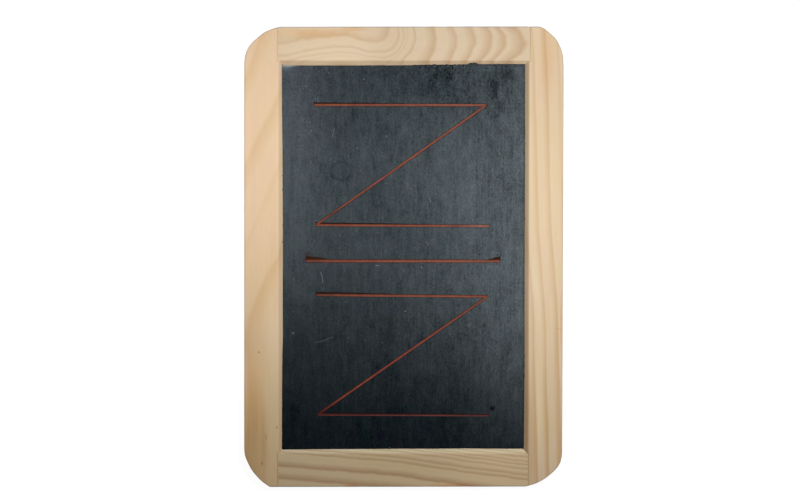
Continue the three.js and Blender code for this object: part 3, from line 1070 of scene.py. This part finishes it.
# %% The top rail: a slice across the arcs of the rings
# The heart of the tree leans through the board, just below this rail's middle. On the right its face
# cuts the rings as a row of arcs, on the left it runs along their flanks. Each row gives a place along
# the rail, how far up the board the heart lies there, and how much it is set back.
heart = [
    (-72, 125.8, -6.5), (-60, 130.2, -7.5), (-50, 131.0, -6.6), (-42, 133.0, -7.6), (-35, 133.8, -7.5),
    (-28, 133.0, -7.3), (-21, 131.5, -7.9), (-14, 129.7, -7.2), (-7, 126.7, -4.8), (0, 125.2, 0.0),
    (8, 124.2, 5.4), (18, 122.1, 14.1), (30, 121.4, 23.8), (42, 122.8, 32.0), (54, 121.5, 38.5),
    (68, 120.7, 43.4), (80, 120.0, 47.0),
]


def top_rail_radius(x, y, z):
    aside = y - curve(x, [(at, up) for at, up, _ in heart])
    deep = z + 7.7
    return (aside * aside + deep * deep).root() + curve(x, [(at, back) for at, _, back in heart])


top_rail_pine = pine(
    "pine with arched rings", top_rail_radius,
    rings=[
        (12.5, 1.7, 0.6), (16.0, 1.3, 0.5), (18.1, 1.2, 0.38), (19.4, 0.7, 0.3), (22.8, 1.7, 0.65),
        (32.8, 6.2, 0.9), (41.6, 4.6, 0.75), (48.8, 4.4, 0.8), (54.2, 3.9, 0.85), (57.5, 2.5, 0.85),
        (61.4, 3.3, 0.95),
    ],
    early=(0.71, 0.55, 0.36), late=(0.56, 0.375, 0.2), along_y=False, slope_light_and_shade=(0.9, 0.87, 0.83),
    seed=1.0, jagged=1.3,
    patches=[
        (36.0, 118.0, 60.0, 30.0, 0.95, 0.955, 1.0, 0.8), (-6.0, 119.0, 13.0, 16.0, 0.97, 0.965, 0.95, 0.6),
        (-46.0, 120.0, 26.0, 16.0, 1.08, 1.085, 1.13, 0.6), (-50.5, 126.2, 19.0, 2.6, 1.0, 0.88, 0.74, 0.9),
        (-27.5, 128.6, 6.0, 1.3, 0.96, 0.84, 0.72, 0.8),
    ],
)
dress(top_rail, top_rail_pine)


# %% The bottom rail: sloping flanks of the rings
def bottom_rail_radius(x, y, z):
    return (z - 10.0) * 0.35 - y + curve(x, [
        (-90, -109.0), (-61, -111.2), (-36, -113.3), (-15, -114.9), (0, -116.2), (13, -118.4), (35, -121.4),
        (70, -126.4), (90, -129.6),
    ])


bottom_rail_pine = pine(
    "pine with sloping rings", bottom_rail_radius,
    rings=[
        (-15.2, 1.4, 0.65), (-12.8, 1.4, 0.6), (-10.5, 1.3, 0.6), (-8.7, 1.3, 0.7), (-6.3, 1.6, 0.65),
        (-2.6, 2.4, 0.8), (0.0, 2.2, 0.8), (8.0, 4.2, 1.0), (15.2, 4.6, 0.95),
    ],
    early=(0.675, 0.515, 0.31), late=(0.475, 0.305, 0.17), along_y=False, slope_light_and_shade=(1.13, 1.25, 1.39),
    seed=2.0, jagged=1.2,
    patches=[
        (0.0, -119.0, 30.0, 12.0, 0.935, 0.93, 0.89, 0.8), (54.0, -119.0, 22.0, 14.0, 1.04, 1.03, 1.01, 0.8),
        (-29.5, -129.0, 3.4, 0.9, 1.0, 0.72, 0.6, 0.8), (28.0, -128.6, 10.0, 0.7, 1.0, 0.72, 0.62, 0.9),
    ],
)
dress(bottom_rail, bottom_rail_pine)


# %% The left stile: broad soft flanks, with stains at its lower end
def left_stile_radius(x, y, z):
    return (z - 10.0) * 0.8 - x + curve(y, [
        (-130, -18.0), (-120, -17.4), (-95, -15.2), (-80, -14.4), (-62, -15.0), (-50, -16.4), (-40, -16.4),
        (-30, -13.4), (-15, -6.6), (0, 0.0), (40, 17.6), (80, 35.2), (130, 58.0),
    ])


left_stile_pine = pine(
    "pine with broad soft flanks", left_stile_radius,
    rings=[(61.8, 2.0, 0.15), (74.2, 11.0, 0.65), (94.0, 6.0, 0.3), (113.3, 10.0, 0.6), (135.0, 9.0, 0.6)],
    early=(0.775, 0.56, 0.355), late=(0.67, 0.44, 0.22), along_y=True, slope_light_and_shade=(0.83, 0.84, 0.86),
    seed=3.0, ring_waver=0.9, fleck=0.25, fibre=0.9,
    patches=[
        (-74.2, -92.0, 3.4, 34.0, 0.98, 1.02, 1.04, 0.5), (-74.2, -50.0, 3.8, 34.0, 1.05, 1.09, 1.13, 0.6),
        (-79.5, -18.0, 7.5, 22.0, 1.0, 0.99, 0.925, 0.8), (-85.0, -106.0, 8.0, 34.0, 0.91, 0.86, 0.77, 0.35),
        (-73.0, -6.0, 2.2, 22.0, 0.985, 0.975, 0.93, 0.7), (-87.6, 66.0, 1.8, 62.0, 1.045, 1.04, 1.05, 0.7),
        (-84.4, -96.0, 1.2, 12.0, 0.93, 0.91, 0.89, 0.9), (-82.6, -93.0, 0.5, 9.0, 0.94, 0.92, 0.9, 0.9),
        (-87.5, -99.0, 0.8, 6.0, 0.95, 0.92, 0.9, 0.9), (-84.5, -76.0, 6.0, 20.0, 1.08, 1.06, 1.05, 0.8),
        (-79.0, -104.0, 1.1, 13.0, 0.92, 0.88, 0.84, 0.9), (-80.0, -104.0, 18.0, 54.0, 0.94, 0.92, 0.82, 0.5),
        (-80.0, 70.0, 16.0, 70.0, 1.06, 1.06, 1.08, 0.8), (-81.6, -53.6, 0.42, 0.42, 0.45, 0.3, 0.22, 0.8),
        (-79.9, -116.4, 0.4, 0.9, 0.72, 0.5, 0.38, 0.8), (-77.6, -101.5, 0.3, 1.5, 0.8, 0.6, 0.46, 0.8),
        (-71.4, -96.1, 0.45, 0.6, 0.6, 0.48, 0.4, 0.8),
    ],
)
dress(left_stile, left_stile_pine)


# %% The right stile: long straight rings, bolder towards its lower end
def right_stile_radius(x, y, z):
    return x - (z - 10.0) * 0.3 - curve(y, [
        (-130, 82.7), (-95, 81.9), (-67, 80.9), (-38, 80.4), (-24, 79.7), (-10, 78.6), (4, 77.3), (14, 76.4),
        (43, 75.4), (74, 74.8), (88, 74.6), (108, 73.9), (130, 72.3),
    ])


right_stile_pine = pine(
    "pine with long straight rings", right_stile_radius,
    rings=[(-6.4, 3.0, 0.45), (0.0, 3.2, 0.5), (7.3, 4.0, 0.65), (14.2, 2.6, 0.35)],
    early=(0.77, 0.585, 0.375), late=(0.63, 0.415, 0.215), along_y=True, slope_light_and_shade=(0.65, 0.65, 0.64),
    seed=4.0, ring_waver=0.45, bolder=lambda x, y: 1.15 + y.rise(10.0, -110.0) * 1.0,
    patches=[
        (80.0, 105.0, 16.0, 34.0, 0.95, 0.94, 0.96, 0.8), (80.0, 5.0, 16.0, 46.0, 1.05, 1.055, 1.075, 0.8),
        (80.5, 112.0, 3.4, 17.0, 0.98, 0.9, 0.8, 0.9), (70.9, -105.0, 3.4, 34.0, 0.86, 0.79, 0.71, 0.6),
        (76.2, -86.0, 1.7, 24.0, 1.06, 1.07, 1.08, 0.8), (76.4, -28.0, 1.8, 16.0, 1.045, 1.07, 1.085, 0.9),
        (79.2, -52.0, 1.6, 15.0, 1.06, 1.07, 1.08, 0.9), (81.8, -97.0, 1.5, 14.0, 1.0, 0.96, 0.88, 0.9),
        (87.6, -76.0, 1.6, 32.0, 1.08, 1.1, 1.13, 0.7), (85.0, -22.0, 1.8, 20.0, 1.06, 1.08, 1.1, 0.9),
        (73.6, -14.0, 1.6, 14.0, 1.02, 1.06, 1.09, 0.9), (82.0, 32.0, 1.6, 28.0, 1.04, 1.05, 1.055, 0.9),
        (88.7, -38.0, 0.5, 13.0, 1.0, 0.8, 0.73, 0.7), (87.3, -40.3, 1.7, 0.22, 0.93, 0.8, 0.72, 0.6),
        (71.4, -40.6, 0.9, 0.25, 0.93, 0.82, 0.75, 0.6), (69.4, -70.0, 1.5, 52.0, 0.9, 0.85, 0.82, 0.5),
    ],
)
dress(right_stile, right_stile_pine)

# %% [markdown]
# ## The slate
#
# Slate is near black when clean. What is seen of a used board is mostly its sheen: hands and cloths have
# polished the face, so it mirrors the lamps softly, most where they hang and hardly at the far end. Each
# cloudy patch and fine streak of the stone takes the polish a little differently, so the pattern goes in
# the film of polish and the roughness. Only chalk that was rubbed in, the stains and a band of painted
# sheen up the right side are colour. One colour with noise on it would look like plastic.


# %% Marks and specks
def marks(x, y, rows, ragged=None, join=Signal.most):
    """Several marks as one. Rows: x, y, half-width, half-height, softness of the edge, strength."""
    spots = [mark(x, y, row[:2], row[2:4], row[4], ragged) * row[5] for row in rows]
    total = spots[0]
    for spot in spots[1:]:
        total = join(total, spot)
    return total


def cells(bench, place, channel):
    """Cells strewn at random: how far a point is from its cell's middle, and a chance for each cell."""
    sockets = {"Vector": bench.vector(*place), "Scale": 1.0, "Randomness": 1.0}
    found = bench.put("ShaderNodeTexVoronoi", {"feature": "F1"}, sockets)
    chances = bench.put("ShaderNodeSeparateColor", None, {0: found["Color"]})
    return bench.signal(found["Distance"]), bench.signal(chances[channel])


damp = [
    (51.9, 96.5, 1.7, 8.0, 0.95, 1.0), (55.9, 102.0, 5.6, 2.4, 0.95, 0.5), (53.9, 84.5, 3.0, 3.8, 0.95, 0.6),
    (58.6, 95.0, 2.4, 3.6, 0.95, 0.3),
]
small_dots = [(53.0, 1.3, 0.45, 0.35, 0.4, 1.0), (42.4, 1.7, 0.6, 0.3, 0.4, 1.0)]
gash_stain_and_shade_marks = [(-49.0, -0.9, 9.5, 2.4, 0.3, 1.0), (49.5, -0.9, 7.5, 2.6, 0.3, 1.0)]
nicks = [
    (-62.3, -43.0, 0.5, 0.5, 0.4, 1.0), (10.2, -5.7, 0.35, 0.6, 0.4, 1.0), (1.0, -30.5, 0.5, 0.4, 0.4, 1.0),
]
# places and strengths of pale flecks
flecks = [
    (-55.2, 96.4, 0.9), (-52.7, 94.1, 0.7), (-49.9, 89.6, 0.8), (-54.8, 76.4, 0.9), (-53.1, 76.1, 0.6),
    (-55.2, 71.5, 0.7), (-52.2, 71.1, 0.7), (-42.2, 103.8, 1.0), (-22.5, 100.3, 0.7), (-9.9, 68.2, 0.8),
]
# start, end, width and strength of each scratch
scratches = [
    ((-46.7, -8.6), (-45.9, -11.4), 0.42, 1.0), ((-45.9, -11.4), (-45.6, -14.4), 0.42, 1.0),
    ((-50.3, -48.2), (-45.6, -47.4), 0.35, 0.6), ((-45.6, -47.4), (-40.0, -45.2), 0.35, 0.45),
    ((-48.5, 90.4), (-48.4, 88.0), 0.3, 0.8), ((-39.2, 72.2), (-39.9, 69.3), 0.3, 0.9),
    ((-39.9, 69.3), (-40.4, 67.9), 0.3, 0.6), ((-15.6, -4.6), (-14.0, -4.9), 0.4, 1.0),
    ((14.6, 33.5), (15.2, 31.2), 0.38, 0.7), ((13.0, 8.6), (13.8, 6.6), 0.38, 0.5),
    ((52.6, 48.5), (52.9, 46.0), 0.35, 0.5),
]
# where the polish is stronger or weaker: marks, and slow changes (across, along, amount)
polished = [
    (-31.0, 101.0, 13.0, 12.0, 0.9, 0.12), (32.0, 100.0, 12.0, 13.0, 0.9, -0.13),
    (64.5, 102.0, 3.0, 11.0, 0.8, 0.25), (1.0, -50.0, 20.0, 34.0, 0.9, -0.2),
    (31.0, 40.0, 11.0, 42.0, 0.8, 0.24), (-44.0, -14.0, 27.0, 26.0, 0.9, 0.2),
]
slow_changes = [
    ((-40.0, -62.0), (-70.0, -10.0), 0.3), ((57.0, 65.0), (72.0, 50.0), 0.26),
    ((0.0, 30.0), (-30.0, -60.0), -0.1), ((42.0, 16.0), (-66.0, -98.0), -0.34),
    ((40.0, 56.0), (-70.0, -98.0), 0.2),
]
print("marks on the slate:", sum(len(rows) for rows in (damp, small_dots, nicks, flecks, scratches)))


# %% Mix the slate
def slate_stone():
    made, bench = start_material("rubbed slate")
    x, y, z = places(bench)
    cloud = bench.noise((x * 0.03, y * 0.02, 0.0), detail=3.0, distortion=0.4)
    mottle = bench.noise((x * 0.2, y * 0.12, z), detail=4.0, roughness=0.6, distortion=0.3)
    streak = bench.noise((x * 0.8, y * 0.06, z * 0.5), detail=4.0, roughness=0.62)
    short = bench.noise((x * 1.2, y * 0.3, z), detail=3.0, roughness=0.7, distortion=0.25)
    grit = bench.noise((x * 3.0, y * 2.0, z * 3.2), detail=3.0, roughness=0.75)
    grain = bench.noise((x * 1.15, y * 0.85, z + 9.0), roughness=0.6)

    # the stone: near black, with a green and a violet cast in patches
    hue = bench.noise((x * 0.33 + 5.0, y * 0.24, z))
    stone = bench.mix(hue.rise(-0.12, 0.12), (0.0018, 0.0074, 0.0076), (0.0036, 0.0056, 0.0108))
    stone = bench.mix(x.rise(-30.0, -56.0) * y.rise(20.0, 95.0) * 0.8, stone, (0.0042, 0.0058, 0.0128))

    # a pale band up the right side, fading towards the bottom, is partly chalk rubbed in and partly painted
    # sheen of the lamps; there is a chalk smear in a corner, and none of the band along the frame
    upper = y.rise(-125.0, -50.0)
    chalk_and_sheen = 0.002 + x.rise(28.0, 64.0) * upper * (1.0 - y.rise(45.0, 105.0) * 0.8) * 0.05
    texture = 1.0 + cloud * 1.2 + mottle * 1.2 + streak * 1.0 + short * 1.0 + grain * 1.3
    smear = marks(x, y, [(-66.6, 107.2, 3.2, 1.6, 0.9, 0.09), (-65.0, 106.0, 5.0, 5.0, 0.9, 0.03)], short,
                  join=Signal.__add__)
    smear = smear + mark(x, y, (-65.4, 108.1), (4.4, 0.75), 0.7, short * 0.6) * 0.42
    by_edge = (opening_x - abs(x)).least(opening_y - abs(y))
    rubbed = bench.mix((chalk_and_sheen * texture).most(0.0) * by_edge.rise(0.1, 1.3) + smear, stone, (0.5, 0.58, 0.63))

    # specks of both kinds
    near, chance = cells(bench, (x * 0.42, y * 0.27, z), 0)
    pale = (near + grain * 0.7 + short * 0.7).rise(0.16, -0.06) * chance.rise(0.45, 0.95)
    rubbed = bench.mix(pale * 0.1, rubbed, (0.38, 0.43, 0.46))
    near, chance = cells(bench, (x * 0.5 + 40.0, y * 0.22, z), 1)
    dull = (near + short * 0.2).rise(0.26, 0.06) * chance.rise(0.6, 0.95)

    # damp stains in the top right corner, a whorl in the bed, and single dark spots
    wet = marks(x, y, damp, mottle * 2.2 + short * 1.4 + grain * 1.4)
    ring_x, ring_y = (x + 35.4) / 6.2, (y - 48.6) / 5.6
    ring = (ring_x * ring_x + ring_y * ring_y).root() + mottle * 0.8 + grain * 0.6
    whorl = (abs(ring - 0.95).rise(0.26, 0.04) + abs(ring - 0.35).rise(0.2, 0.04) * 0.5).least(1.0)
    whorl = whorl * (0.55 + y.rise(49.5, 44.5) * 0.45) * x.rise(-28.6, -31.0)
    spot = mark(x, y, (50.1, -85.6), (1.4, 1.3), 0.5, short * 1.5 + grain)
    stained = (wet * 0.62).most(whorl * 0.3).most(spot * 0.85).most(marks(x, y, small_dots) * 0.8)
    rubbed = bench.mix(stained, rubbed, (0.0015, 0.0025, 0.0028))

    # scratches and knocks, pale because the powder stays in them
    scored = marks(x, y, nicks)
    small = [(at_x, at_y, 0.34, 0.42, 0.8, strength * 0.75) for at_x, at_y, strength in flecks]
    scored = scored.most(marks(x, y, small, grit * 1.4 + short))
    for start, end, width, strength in scratches:
        scored = scored.most(scratch(x, y, start, end, width) * strength)
    blotch = mark(x, y, (37.2, -38.4), (1.15, 1.2), 0.3, short * 0.6)
    scored = (scored * (0.6 + grit)).most(blotch * 0.22)
    rubbed = bench.mix(scored * 0.3 * (0.35 + upper * 0.65), rubbed, (0.5, 0.55, 0.57))

    # below the face: bare stone. In the gashes at the centre line's ends it is browned by a stain of paint,
    # which also stands as painted shade there; a brown smudge of the paint's oil lies on the face at the left
    # end
    level = z.rise(6.62, 6.7)
    gash_stain_and_shade = marks(x, y, gash_stain_and_shade_marks, mottle) * z.rise(5.0, 5.6)
    smudge = mark(x, y, (-53.2, 1.4), (2.2, 1.4), 0.8, mottle + short) * 0.75
    smudge = smudge.most(mark(x, y, (-54.5, 1.2), (0.8, 1.7), 0.6, short * 0.8))
    bare = bench.mix(gash_stain_and_shade, (0.006, 0.008, 0.009), (0.026, 0.0125, 0.007))
    tone = bench.mix(1.0 - level, bench.mix(smudge, rubbed, (0.018, 0.0095, 0.006)), bare)
    tone = bench.mix(z.rise(6.66, 6.5) * z.rise(6.1, 6.3) * 0.4, tone, (0.06, 0.014, 0.006))

    # the film of polish left by hands and cloths: most down the left side, least under the top rail
    film = 1.0 + cloud * 0.7 + mottle * 1.3 + streak * 1.2 + short * 0.9 + grain * 1.75
    film = film + marks(x, y, polished, cloud, join=Signal.__add__)
    for across, along, amount in slow_changes:
        film = film + x.rise(*across) * y.rise(*along) * amount
    film = film - x.rise(40.0, 52.0) * y.rise(-50.0, 0.0) * y.rise(90.0, 70.0) * 0.12
    film = film - mark(x, y, (13.0, 109.0), (49.0, 30.0), 0.9, cloud) * (0.4 + streak * 0.4)
    film = film * (1.0 - stained * 0.85) * (1.0 - smudge * 0.5) * (1.0 - dull * 0.35)
    film = film * (0.2 + level * 0.8) * (1.0 - scored * 0.4) * 0.5
    worked = mottle * 0.05 + streak * 0.04 + short * 0.04 + grit * 0.04
    dulled = (stained * 0.2).most(dull * 0.08).most((1.0 - level) * 0.3).most(scored * 0.1)
    roughness = (0.33 + worked + dulled).least(0.9).most(0.24)
    height = mottle * 0.5 + streak * 0.5 + short * 0.6 + grit * 0.35 - dull * 0.4 - scored * 0.5
    film = film.most(0.0).least(1.0)
    finish(bench, tone, roughness, height, 0.03, 0.34, sheen=(0.79, 0.93, 1.0), polish=film)
    return made


dress(slate, slate_stone())

# %% [markdown]
# ## Red paint and raw wood
#
# The paint has dried unevenly: oranger where it is thin on a high spot, browner where dust lies in the
# dip of the line. The torn slivers along the lips show wood that has not seen light or hands, so they
# are paler than the faces.


# %% Mix the paint and the raw wood
def red_paint():
    made, bench = start_material("old red paint")
    x, y, z = places(bench)
    long = bench.noise((x * 0.05, y * 0.05, 0.0))
    patch = bench.noise((x * 0.4, y * 0.4, z), detail=3.0, roughness=0.6)
    grit = bench.noise((x * 3.0, y * 3.0, z * 3.0), detail=3.0, roughness=0.7)
    tone = bench.mix((patch + long).rise(-0.25, 0.25), (0.165, 0.034, 0.015), (0.235, 0.055, 0.022))
    worn = (patch * 0.8 + grit * 0.8 - long).rise(0.18, 0.42)
    tone = bench.mix(worn * 0.45, tone, (0.13, 0.055, 0.025))
    dusty = (grit + patch * 0.5).rise(0.16, 0.4)
    tone = bench.mix(dusty * 0.12, tone, (0.34, 0.28, 0.25))
    tone = bench.mix(z.rise(6.4, 6.54) * 0.45, tone, (0.055, 0.014, 0.007))  # thin where it climbs the walls
    # the left ends of three strokes are darker: the paint is thin there, and it is painted shade of the
    # graver's slip
    thin = marks(x, y, [
        (-52.0, -2.2, 6.5, 3.0, 0.4, 0.5), (-46.0, -21.4, 7.0, 1.2, 0.4, 0.5),
        (-40.5, 25.5, 6.5, 4.0, 0.5, 0.5),
    ])
    changes = [
        (thin, (0.28, 0.3, 0.4)), (y.rise(-30.0, -60.0), (1.14, 0.98, 1.25)),
        # painted highlight: the right end of the upper zigzag's lower stroke is made paler and pinker
        (mark(x, y, (45.5, 17.6), (9.0, 2.0), 0.6), (1.45, 2.0, 2.8)),
        (mark(x, y, (-13.0, 43.6), (5.0, 3.6), 0.6), (1.1, 0.95, 2.2)),
        # painted shade: the lowest stroke is darkened, as the light falls off towards the bottom
        (y.rise(-79.0, -88.5) * 0.9, (0.3, 0.16, 0.22)),
    ]
    for where, change in changes:
        tone = bench.tint(where, tone, change)
    roughness = (0.48 + grit * 0.2 + dusty * 0.2).least(0.85)
    finish(bench, tone, roughness, patch * 0.5 + grit * 0.4, 0.03, shine=0.2)
    return made


def raw_wood():
    made, bench = start_material("raw torn wood")
    x, y, z = places(bench)
    patch = bench.noise((x * 0.3, y * 0.3, z))
    fine = bench.noise((x * 5.0, y * 5.0, z * 5.0))
    tone = bench.mix(patch.rise(-0.25, 0.25), (0.72, 0.56, 0.38), (0.84, 0.73, 0.56))
    tone = bench.tint(1.0, tone, bench.grey(1.0 + fine * 0.25))
    finish(bench, tone, 0.75 + fine * 0.1, fine, 0.02, shine=0.2)
    return made


for pieces, finish_there in ((paints, red_paint()), (fibre_pieces, raw_wood())):
    for made in pieces:
        dress(made, finish_there)

# %% [markdown]
# ## Table, lamps and camera
#
# The board was photographed flat, from straight above, on white. The table is a shallow pale bowl, so
# its rim is out of sight from the side too. Its white comes from its own colour and a glow that only
# the camera sees, and not from more light, so the wood keeps its colour. A round window in the table,
# under the board and smaller than it, lets the back of the board be seen and lit from below.
#
# The lamps stand where the slopes of the frame and the slate's sheen say they stood: the slope on the
# lower rail is the brightest and the one on the right stile the darkest, so the light comes a little
# from beyond the top and from the right. A soft strip hangs low over the upper right half, and a spot
# with soft edges evens out the left side.


# %% Lay the table
def table_height(distance, flat=2200.0, run=900.0):
    """The bowl's height at a distance from the board's middle."""
    return 0.0 if distance < flat else run * ((distance - flat) / run) ** 2


def lay_table():
    window, below = outline * (1 - 1.2 / half_width), 0.1
    around = len(window)
    rings = [np.column_stack([window, np.full(around, -below)])]
    angles = np.arctan2(window[:, 1], window[:, 0])
    for distance in (220, 500, 1000, 1700, 2200, 2400, 2600, 2800, 3000, 3200):
        heights = np.full(around, table_height(distance) - below)
        rings.append(np.column_stack([distance * np.cos(angles), distance * np.sin(angles), heights]))
    faces = []
    for i in range(len(rings) - 1):
        for j in range(around):
            k = (j + 1) % around
            faces.append((i * around + j, (i + 1) * around + j, (i + 1) * around + k, i * around + k))
    return make_object("table", np.concatenate(rings), faces)


def white_for_the_camera(bench):
    """1 for what the camera sees, directly or in a gloss or through glass."""
    rays = bench.put("ShaderNodeLightPath")
    seen = bench.signal(rays["Is Camera Ray"])
    return seen.most(rays["Is Glossy Ray"]).most(rays["Is Transmission Ray"])


def table_finish():
    made, bench = start_material("pale table")
    plain = bench.put("ShaderNodeBsdfDiffuse", None, {"Color": (0.8, 0.8, 0.79)})[0]
    faint = bench.put("ShaderNodeBsdfDiffuse", None, {"Color": (0.25, 0.25, 0.25)})[0]
    glow = bench.put("ShaderNodeEmission", None, {"Color": (1.0, 1.0, 1.0), "Strength": 0.95})[0]
    white = bench.put("ShaderNodeAddShader", None, {0: faint, 1: glow})[0]
    lit = bench.put("ShaderNodeMixShader", None, {0: white_for_the_camera(bench), 1: plain, 2: white})[0]
    clear = bench.put("ShaderNodeBsdfTransparent")[0]
    behind = bench.put("ShaderNodeNewGeometry")["Backfacing"]
    shown = bench.put("ShaderNodeMixShader", None, {0: behind, 1: lit, 2: clear})[0]
    bench.put("ShaderNodeOutputMaterial", None, {"Surface": shown})
    return made


table = lay_table()
dress(table, table_finish())
table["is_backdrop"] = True


# %% Hang the lamps
def lamp(name, kind, place, aim, watts, **settings):
    data = bpy.data.lights.new(name, kind)
    data.energy = watts
    for key, value in settings.items():
        setattr(data, key, value)
    made = link(name, data)
    made.location = place
    made.rotation_euler = (Vector(aim) - Vector(place)).to_track_quat("-Z", "Y").to_euler()
    made.visible_camera = False
    print(name, "of", watts, "watts")


lamp("main_lamp", "AREA", (0.061, 0.08, 0.3), (0.061, 0.08, 0.0), 0.97,
     shape="RECTANGLE", size=0.1, size_y=0.31)
lamp("side_lamp", "SPOT", (-0.1, 0.101, 1.206), (-0.146, 0.058, 0.0), 19.0,
     spot_size=math.radians(17.2), spot_blend=1.0, shadow_soft_size=0.09)
lamp("below_lamp", "AREA", (0.0, -0.2, -0.9), (0.0, 0.0, 0.0), 6.0, shape="RECTANGLE", size=0.8, size_y=0.8)


# %% Set the ceiling and the world
def ceiling_disc(radius=2900.0, height=2400.0, around=48):
    turns = [2 * math.pi * k / around for k in range(around)]
    points = [(radius * math.cos(turn), radius * math.sin(turn), height) for turn in turns]
    made = make_object("ceiling", points, [tuple(reversed(range(around)))])
    made.visible_camera = False
    finish_there, bench = start_material("dark ceiling")
    plain = bench.put("ShaderNodeBsdfDiffuse", None, {"Color": (0.05, 0.05, 0.052)})[0]
    bench.put("ShaderNodeOutputMaterial", None, {"Surface": plain})
    dress(made, finish_there)
    return made


ceiling_disc()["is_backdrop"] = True
world = bpy.data.worlds.new("white surround")
world.use_nodes = True
world.node_tree.nodes.clear()
bench = Bench(world.node_tree)
glow = bench.put("ShaderNodeBackground", None, {"Color": (1.0, 1.0, 1.0), "Strength": 1.0})[0]
dim = bench.put("ShaderNodeBackground", None, {"Color": (1.0, 0.99, 0.97), "Strength": 0.1})[0]
both = bench.put("ShaderNodeMixShader", None, {0: white_for_the_camera(bench), 1: dim, 2: glow})[0]
bench.put("ShaderNodeOutputWorld", None, {"Surface": both})
scene = bpy.context.scene
scene.world = world
scene.view_settings.view_transform = "Standard"
print("ceiling and world set")

# %% Set up the camera
camera_data = bpy.data.cameras.new("camera")
camera_data.sensor_width = 36.0
camera_data.lens = 119.055
camera_data.clip_start = 0.01
camera = link("camera", camera_data)
camera.location = (-0.00618, 0.04044, 1.5)
camera.rotation_mode = "YXZ"
camera.rotation_euler = [math.radians(a) for a in (-1.429, -0.157, 0.049)]
scene.camera = camera
print("camera", round(camera.location.z / MM), "mm above the table")

# %% [markdown]
# ## The pieces and the boxes
#
# Every finished piece rides on the board's one body and stands for its plain solid in the imported model.
# The two boxes are printed, so that the dressed board can be seen to keep the model's size.

# %% Say what each piece stands for
standing_for = [
    (left_stile, "left_stile", "pine"), (right_stile, "right_stile", "pine"), (top_rail, "top_rail", "pine"),
    (bottom_rail, "bottom_rail", "pine"), (slate, "slate_panel", "slate"),
    (upper_paint, "upper_zigzag_paint", "line_paint"), (centre_paint, "centre_line_paint", "line_paint"),
    (lower_paint, "lower_zigzag_paint", "line_paint"),
]
for made, node, slot in standing_for:
    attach(made, "root")
    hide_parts(node)
for made in fibre_pieces:
    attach(made, "root")
total = sum(triangles(made) for made in [row[0] for row in standing_for] + fibre_pieces)
print("pieces:", len(standing_for) + len(fibre_pieces), "triangles:", total)

# %% Print the two boxes and finish
boxes = {"cad": [list(corner) for corner in cad_box], "dressed": [list(corner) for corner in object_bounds()]}
print({name: [round(v / MM, 2) for corner in box for v in corner] for name, box in boxes.items()})
